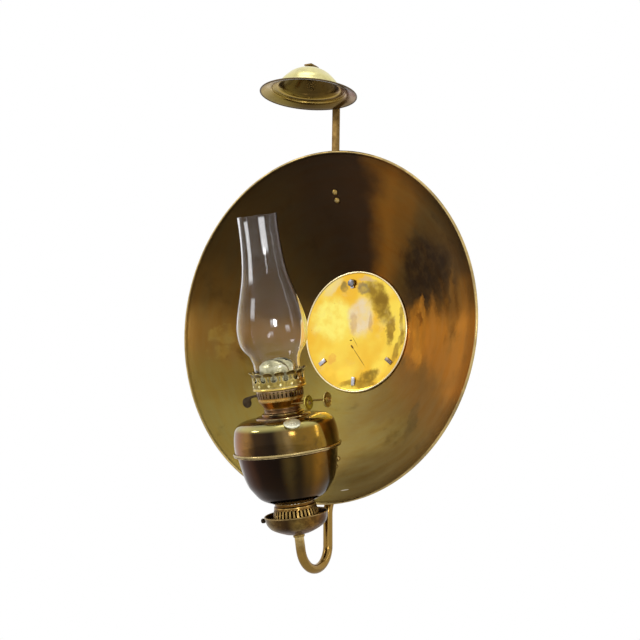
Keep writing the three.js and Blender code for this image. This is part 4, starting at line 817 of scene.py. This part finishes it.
STRAP_SCREW_END, ARM_SCREW_END = 6.5, 20.3
for where, radius in (("outer", 199.4), ("inner", 188.13)):
    slope_screw("strap_screw_" + where, radius, 1, STRAP_SCREW_END)
    slope_screw("arm_screw_" + where, radius, -1, ARM_SCREW_END)


# Bent arm tube, its ferrule and the cup

# The tube's middle line, in millimetres: where it starts on the stay, where it turns upright, and its bend
TUBE_TOP = Vector((0, -42.72, -170.38))
TUBE_KNEE = Vector((0, -83.96, -252.86))
KNEE_CENTRE, KNEE_ANGLE = Vector((0, -53.55, -268.07)), 26.565
BEND_CENTRE, BEND_ANGLE = Vector((0, -121.25, -311.6)), -167
BEND_END = Vector((0, -154.086, -319.18))


def bent_tube():
    bm = bmesh.new()
    down = TUBE_KNEE - TUBE_TOP
    rim = bmesh.ops.create_circle(bm, segments=32, radius=6.75 * MM)["verts"]
    bm.transform(Matrix.Translation(TUBE_TOP * MM) @ down.to_track_quat("Z", "X").to_matrix().to_4x4())
    ring = [*rim, *bm.edges]

    def pushed(ring, vec):
        edges = [e for e in ring if isinstance(e, bmesh.types.BMEdge)]
        new = bmesh.ops.extrude_edge_only(bm, edges=edges)["geom"]
        verts = [v for v in new if isinstance(v, bmesh.types.BMVert)]
        bmesh.ops.translate(bm, verts=verts, vec=vec * MM)
        sides = [e for e in new if isinstance(e, bmesh.types.BMEdge) and all(v in verts for v in e.verts)]
        return [*verts, *sides]

    def swung(ring, centre, angle, steps):
        return bmesh.ops.spin(bm, geom=ring, cent=centre * MM, axis=(1, 0, 0), angle=math.radians(angle),
                              steps=steps)["geom_last"]

    ring = swung(pushed(ring, down), KNEE_CENTRE, KNEE_ANGLE, 8)
    ring = pushed(ring, Vector((0, 0, BEND_CENTRE.z - KNEE_CENTRE.z)))
    ring = swung(ring, BEND_CENTRE, BEND_ANGLE, 40)
    pushed(ring, LAMP @ Vector((0, 0, 0.0015)) / MM - BEND_END)
    bmesh.ops.remove_doubles(bm, verts=bm.verts, dist=1e-6)
    return thickened(bm, 1.4)


piece("arm_tube_bent", bent_tube(), HERE, "wall_bracket", "aged_brass", "tube_brass", "arm_tube")
ferrule_outline = [(7.05, -4.3), (7.7, -4.3), *arc(7.3, -3.2, 0.9, -60, 0, 4), *arc(7.6, -1.2, 0.6, 0, 90, 4),
                   (7.05, -0.3)]
piece("ferrule", spun(ferrule_outline, 48), LAMP, "wall_bracket", "yellow_brass", "screw_brass",
      "arm_ferrule")

cup_path = [(7.05, 0),
            *flowing([(12, 0.6), (18.9, 2), (32.4, 8), (38.7, 12.54), (42.75, 19.38), (43.9, 27.4)])]
cup_outline = [*cup_path, *arc(43.9, 28.5, 1.1, -72, 171, 10), *reversed(shifted(cup_path, 1.2))]
cup_hole = slot_cutters(1, 3.8, 17.1, 20.9, 30, 48, math.pi)
piece("cup", carved(spun(cup_outline, 128), cup_hole), LAMP, "wall_bracket", "dark_brass", "cup_brass",
      "lamp_cup")


def ridged(bm, count, amount, test):
    """Pulls in every other row of the points that pass the test, towards Z, for a milled edge."""
    for vert in bm.verts:
        if test(vert.co):
            wave = 0.5 - 0.5 * math.cos(count * math.atan2(vert.co.y, vert.co.x))
            vert.co.xy *= 1 - amount * wave
    return bm


SCREW_PLACE = LAMP @ Matrix.Translation((0, 0, 0.019)) @ turned(-90, "Y")
knob_face = [(2.7, 55.6), *arc(2.9, 56.2, 0.5, -60, 0, 3), *arc(2.9, 59.5, 0.5, 0, 90, 3), (2.2, 60.4),
             (0, 60.6)]
thumb_outline = [(0, 36.6), (1.3, 36.6), (1.6, 36.9), (1.6, 55.6), *knob_face]
thumb = ridged(spun(thumb_outline, 96), 24, 0.09, lambda co: co.z > 0.0558 and co.xy.length > 0.003)
piece("thumb_screw_knurled", thumb, SCREW_PLACE, "thumb_screw", "blackened_brass", "blackened_brass",
      "cup_screw")


# Font: pierced foot, bowl, shoulder with its seam bead, collar

FOOT_BASE = 12.37
foot_path = [*arc(35.3, FOOT_BASE + 0.7, 0.7, -90, 0, 3), *arc(34.9, FOOT_BASE + 3, 1.1, 0, 80, 4),
             *flowing(scaled([(0.95, 0.16), (0.935, 0.31), (0.88, 0.55), (0.82, 0.79)], 36, 33.6, FOOT_BASE)),
             *flowing(scaled([(0.82, 0.85), (0.8, 0.885), (0.778, 0.91), (0.778, 1)], 36, 33.6, FOOT_BASE))]
foot = carved(spun(walled(foot_path, 1), 144), slot_cutters(36, 3.2, 24, 38, 24, 40, math.radians(5)))
piece("pierced_foot", foot, LAMP, "font", "dark_brass", "foot_brass", "font_foot")

BOWL_BASE = 46.27
SEAM = 119.27
bowl_path = [(0, BOWL_BASE), *flowing([(27, BOWL_BASE), (34, 48.2), (45.4, 54.3), (52.5, 62.33), (61.5, 76.9),
                                       (67.3, 100.3), (69.9, 116.35)]), (71.5, 117.4), (75, SEAM - 1)]
bowl_inner = [(0, BOWL_BASE + 1), *shifted(bowl_path, 1)[1:-2], (70.2, SEAM)]
bowl = spun([*bowl_path, (75, SEAM), *reversed(bowl_inner)], 144)
piece("bowl", bowl, LAMP, "font", "dark_brass", "font_brass", "font_bowl")

shoulder_path = [*flowing([(73.2, 122.9), (73.2, 128), (73.2, 133.6), (72.5, 141.5), (71.15, 149.46),
                           (68.8, 156.46), (63.7, 161.6), (56.5, 164.3), (48.3, 165.57), (38.6, 166.27)]),
                 *flowing([(38.4, 167.3), (35.9, 168.9), (30.4, 169.5)]),
                 *flowing([(29.4, 170), (29.1, 172.1), (27.6, 172.87)]), (21.9, 172.87)]
seam_bead = arc(74.3, 121.27, 1.7, -60, 130, 12)
shoulder_inner = [(72.2, 122.9), (72.2, 133.6), (71.5, 141.3), (70.2, 149.2), (67.9, 156), (63, 160.7),
                  (56, 163.3), (48, 164.57), (28.1, 165.27), (28.1, 171.87), (21.9, 171.87)]
shoulder_outline = [(74.3, SEAM + 0.3), *seam_bead, *shoulder_path, *reversed(shoulder_inner),
                    (72.2, SEAM + 0.3)]
FILLER_REACH, FILLER_UP, FILLER_TURN = 65.9, 159.36, math.pi / 4
filler_spot = Vector((FILLER_REACH * math.sin(FILLER_TURN), -FILLER_REACH * math.cos(FILLER_TURN), FILLER_UP))
FILLER = LAMP @ Matrix.Translation(filler_spot * MM) @ turned(-45, "Z") @ turned(25, "Y")
filler_bore = spun([(0, -6), (5.9, -6), (5.9, 8), (0, 8)], 32)
filler_bore.transform(LAMP.inverted() @ FILLER)
shoulder = zoned(carved(spun(shoulder_outline, 144), filler_bore), lambda r, z, out, up: int(r > 73.3))
piece("shoulder", shoulder, LAMP, "font", "dark_brass", ["shoulder_brass", "seam_brass"], "font_shoulder")
collar_outline = [(21.6, 173.17), *arc(25.2, 173.8, 0.6, -90, 45, 5), *arc(24.8, 175, 0.35, -30, 30, 3),
                  *arc(24.8, 177.5, 0.35, -30, 30, 3), *arc(25.2, 178.75, 0.6, -45, 90, 5), (21.6, 179.37)]
piece("collar", spun(collar_outline, 96), LAMP, "font", "copper_brass", "collar_copper", "font_collar")

neck_outline = [(4.6, -4.4), (5.6, -4.4), (5.6, 1.2), (5.2, 1.6), (4.6, 1.6)]
piece("filler_tube", spun(neck_outline, 40), FILLER, "font", "dark_brass", "shoulder_brass", "filler_neck")
cap_top = flowing([(11.55, 4), (10.6, 4.35), (9, 4.5), (6.4, 4.7), (3, 4.92), (0, 4.95)])
cap_outline = [(0, 3), (5.9, 3), (5.9, 0.9), (7.3, 0.9), (7.4, 1.1), (9.2, 2.05),
               *arc(11.2, 2.9, 0.6, -80, 0, 4), (11.8, 3.5), *cap_top]
cap = ridged(spun(cap_outline, 144), 48, 0.02, lambda co: co.xy.length > 0.0112 and 0.0025 < co.z < 0.0041)
piece("filler_cap_milled", cap, FILLER, "cap", "pale_brass", "cap_brass", "filler_cap")
washer_outline = [(4.6, 1.9), (5.6, 1.9), (5.6, 2.7), (4.6, 2.7)]
piece("cork_washer", spun(washer_outline, 32), FILLER, "cap", "cork", "washer_cork", "filler_washer")


# Burner: cone, pierced band and winder knobs

SPINDLE_ASIDE, SPINDLE_UP = 0.011, 0.18467
cone_side = flowing([(24.9, 180.6), (27.9, 185), (31.3, 190)])
cone_outline = [(20.5, 171.67), (21.3, 171.67), (21.3, 179.67), (24.7, 179.67),
                *arc(24.5, 180.07, 0.4, -60, 0, 3), *cone_side, (31.3, 190.47), (30.4, 190.47),
                *reversed(shifted(cone_side, 0.8)), (20.5, 180.47)]
cone = spun(cone_outline, 96)
spindle_bores = bmesh.new()
for side in (-1, 1):
    bmesh.ops.create_cone(spindle_bores, cap_ends=True, segments=20, radius1=1.5 * MM, radius2=1.5 * MM,
                          depth=64 * MM, matrix=Matrix.Translation((0, side * SPINDLE_ASIDE, SPINDLE_UP))
                          @ turned(90, "Y"))
piece("cone", carved(cone, spindle_bores), LAMP, "burner", "copper_brass", "cone_copper", "burner_cone")

band_outline = [(30.6, 190.77), (31.2, 190.77), (31.5, 191), (32.3, 194.4), (33.5, 205), (33.3, 205.27),
                (32.7, 205.27)]
band = carved(spun(band_outline, 180), slot_cutters(36, 2.9, 194.6, 203.6, 29, 36))
band = zoned(band, lambda r, z, out, up: int(z < 194))
piece("pierced_band", band, LAMP, "burner", "copper_brass", ["band_brass", "cone_copper"], "draught_band")


def winder_knob(name, reach, side, body, slot, finish):
    """A pressed disc with a raised hub and milled rim, and ribs like spokes."""
    face = flowing([(3.1, 1.1), (3.5, 0.75), (3.9, 0.42)]) + [(8.5, 0.42)] + flowing([(9, 0.75), (9.8, 1.1)])
    outline = [(1.5, -1.1), *[(r, -z) for r, z in face], *arc(9.8, 0, 1.1, -80, 80, 6), *reversed(face),
               (1.5, 1.1)]
    bm = spun(outline, 144)
    for vert in bm.verts:
        radius = vert.co.xy.length / MM
        if 3.8 < radius < 8.6:
            turn = math.atan2(vert.co.y, vert.co.x)
            vert.co.z += math.copysign(0.3 * MM * (0.5 + 0.5 * math.cos(12 * turn)), vert.co.z)
    ridged(bm, 36, 0.035, lambda co: co.xy.length > 0.0103)
    place = LAMP @ Matrix.Translation((reach * MM, side * SPINDLE_ASIDE, SPINDLE_UP))
    place @= turned(90, "Y")
    piece(name + "_ribbed", bm, place, body, slot, finish, name)


winder_knob("winder_knob_front", 52.9, -1, "front_winder", "yellow_brass", "front_knob_brass")
winder_knob("winder_knob_rear", 69.6, 1, "rear_winder", "copper_brass", "rear_knob_brass")


# Gallery: ledge and bead, and the crown of curled petals

CROWN_FOOT, CROWN_RADIUS, PETALS = 209, 36, 14
CURL_START, CURL_RADIUS = 15, 9
SECTOR = math.pi * CROWN_RADIUS / PETALS
petal = [*arc(SECTOR, 13.1, 4.6, 270, 108.8, 14), (6.6, 18.6), *arc(5.2, 20.4, 1.5, 20, 80, 4)]
petal_top = flowing([(5.46, 21.88), (3.8, 23.4), (2, 24.25), (0, 24.5)], 4)
half = [(SECTOR, 0), *petal, *petal_top[1:]]
whole = [*half, *[(-u, v) for u, v in reversed(half[:-1])]]
slit = [*arc(0, 15.7, 0.8, 0, 180, 6), *arc(0, 10.3, 0.8, 180, 360, 6)]


def crown_of_petals():
    bm = bmesh.new()
    for loop in (whole, slit):
        verts = [bm.verts.new((u * MM, 0, v * MM)) for u, v in loop]
        for pair in zip(verts, [*verts[1:], verts[0]]):
            bm.edges.new(pair)
    bmesh.ops.triangle_fill(bm, edges=bm.edges, use_beauty=True)
    cuts = [((0, 0, 0.9 * n * MM), (0, 0, 1)) for n in range(1, 27)]
    cuts += [((across * MM, 0, 0), (1, 0, 0)) for across in (-7, -6, -4, -3, -2, -1, 0, 1, 2, 3, 4, 6, 7)]
    for spot, way in cuts:
        bmesh.ops.bisect_plane(bm, geom=[*bm.verts, *bm.edges, *bm.faces], plane_co=spot, plane_no=way)
    for vert in bm.verts:
        turn, rise = vert.co.x / (CROWN_RADIUS * MM), vert.co.z / MM
        curl = max(rise - CURL_START, 0) / CURL_RADIUS
        pip = 0.9 * math.exp(-((turn * CROWN_RADIUS) ** 2 + (rise - 3.8) ** 2) / 2)
        radius = CROWN_RADIUS + pip + CURL_RADIUS * (1 - math.cos(curl))
        height = min(rise, CURL_START) + CURL_RADIUS * math.sin(curl)
        vert.co = Vector((radius * math.cos(turn), radius * math.sin(turn), CROWN_FOOT + height)) * MM
    around(bm, PETALS)
    bmesh.ops.remove_doubles(bm, verts=bm.verts, dist=1e-5)
    return thickened(bm, 0.7)


# The curled tips are painted darker, as painted shade, and the pips paler, as painted highlights
crown = zoned(crown_of_petals(),
              lambda r, z, out, up: int(r > 36.9 and z > 226) or 2 * int(r > 36.95 and z < 215))
piece("petal_crown", crown, LAMP, "gallery", "yellow_brass", ["crown_brass", "crown_tips_shade", "pip_highlight_brass"],
      "gallery_crown")
ring_outline = [(27.6, 205.57), (35.6, 205.57), *arc(35.6, 207.37, 1.8, -80, 90, 12), (35, 209.3),
                (35, 206.77), (27.6, 206.77)]
piece("gallery_bead", spun(ring_outline, 128), LAMP, "gallery", "yellow_brass", "bead_brass", "gallery_crown")

DOME_LOW, DRUM_RADIUS = 207.07, 24.5
DRUM_TOP = DOME_LOW + 22.68
LOBE_ASIDE, LOBE_HALF, LOBE_HEIGHT = 9.9, 14.6, 17.8


def lobed_dome():
    bm = bmesh.new()
    side = [(r, 0) for r in range(24)] + [(24.2, 0), (DRUM_RADIUS, -0.3), (DRUM_RADIUS, -14),
                                          (DRUM_RADIUS, -21.4), (25, -22), (32, -22)]
    verts = [bm.verts.new((r * MM, 0, (DRUM_TOP + z) * MM)) for r, z in side]
    edges = [bm.edges.new(pair) for pair in zip(verts, verts[1:])]
    bmesh.ops.spin(bm, geom=[*verts, *edges], cent=(0, 0, 0), axis=(0, 0, 1), angle=math.tau, steps=112,
                   use_merge=True)
    bmesh.ops.remove_doubles(bm, verts=bm.verts, dist=1e-6)
    for vert in bm.verts:
        x, y = vert.co.x / MM, vert.co.y / MM
        inside = 1 - (x / DRUM_RADIUS) ** 2 - ((abs(y) - LOBE_ASIDE) / LOBE_HALF) ** 2
        if inside > 0 and vert.co.z > (DRUM_TOP - 1) * MM:
            vert.co.z += LOBE_HEIGHT * MM * math.sqrt(inside)
    bmesh.ops.smooth_vert(bm, verts=[v for v in bm.verts if v.co.z > (DRUM_TOP - 2) * MM], factor=0.5,
                          use_axis_x=True, use_axis_y=True, use_axis_z=True)
    cutter = bmesh.new()
    for side in (-1, 1):
        bmesh.ops.create_cube(cutter, size=1, matrix=Matrix.Translation((0, side * 0.0069, 0.245))
                              @ Matrix.Diagonal((27.2 * MM, 3.2 * MM, 30 * MM, 1)))
    return carved(thickened(bm, 0.7), cutter)


piece("two_lobed_dome", lobed_dome(), LAMP, "gallery", "pale_brass", "dome_brass", "burner_dome")


# Chimney

chimney_shares = [(0.668, 0.15), (0.74, 0.19), (0.88, 0.23), (0.965, 0.27), (1, 0.335), (0.975, 0.388),
                  (0.9, 0.46), (0.77, 0.56), (0.66, 0.65), (0.586, 0.77), (0.558, 0.9), (0.562, 0.998)]
CHIMNEY_TOP = DOME_LOW + 240
chimney_path = [(32.3, DOME_LOW), *flowing([(32.3, DOME_LOW + 24),
                                            *scaled(chimney_shares, 49.5, 240, DOME_LOW)], 8)]
glass_outline = [*chimney_path[:-1], (27.7, CHIMNEY_TOP - 0.4), (27.2, CHIMNEY_TOP), (26.6, CHIMNEY_TOP),
                 *reversed(shifted(chimney_path, 1.6))]
piece("glass_chimney", spun(glass_outline, 128), LAMP, "glass", "clear_glass", "chimney_glass", "chimney")


# Floor, backdrop and light

FLOOR_DROP = 0.35


def pale_floor():
    bm = bmesh.new()
    bmesh.ops.create_circle(bm, cap_ends=True, segments=96, radius=3)
    bm.transform(Matrix.Translation((0, 0, cad_box[0].z - FLOOR_DROP)))
    mesh = bpy.data.meshes.new("floor")
    bm.to_mesh(mesh)
    bm.free()
    shader, _ = started("floor_white")
    filled(shader, {"Base Color": colour("e6e6e6"), "Roughness": 0.7, "Specular IOR Level": 0.1})
    mesh.materials.append(FINISHES["floor_white"])
    floor = stood("floor", mesh)


def studio_world():
    world = bpy.data.worlds.new("studio")
    world.use_nodes = True
    tree = world.node_tree
    tree.nodes.clear()
    path = add("LightPath", tree=tree)
    mirrored = maths("MAXIMUM", path["Is Glossy Ray"], path["Is Transmission Ray"])
    seen = maths("MAXIMUM", path["Is Camera Ray"], mirrored)
    strength = add("MapRange", {"Value": seen, "To Min": 0.8, "To Max": 1})[0]
    light = add("Background", {"Color": (1, 1, 1, 1), "Strength": strength})[0]
    add("OutputWorld", {0: light})
    scene.world = world


def softbox(name, azimuth, elevation, distance, width, height, watts):
    lamp = bpy.data.lights.new(name, "AREA")
    lamp.shape = "RECTANGLE"
    lamp.size = width
    lamp.size_y = height
    lamp.energy = watts
    turn, rise = math.radians(azimuth), math.radians(elevation)
    way = Vector((math.sin(turn) * math.cos(rise), -math.cos(turn) * math.cos(rise), math.sin(rise)))
    holder = stood(name, lamp)
    holder.location = Vector((0, -0.1, 0)) + way * distance
    holder.rotation_euler = way.to_track_quat("Z", "Y").to_euler()


pale_floor()
studio_world()
softbox("key_left", -41, 25, 1.9, 0.42, 0.3, 5)
softbox("key_right", 46, 4, 1.9, 0.34, 0.26, 4)
softbox("side_strip", 104, 16, 1.8, 0.18, 0.9, 2)
softbox("soft_top", 10, 80, 1.8, 0.9, 0.9, 4)

scene.view_settings.view_transform = "Standard"
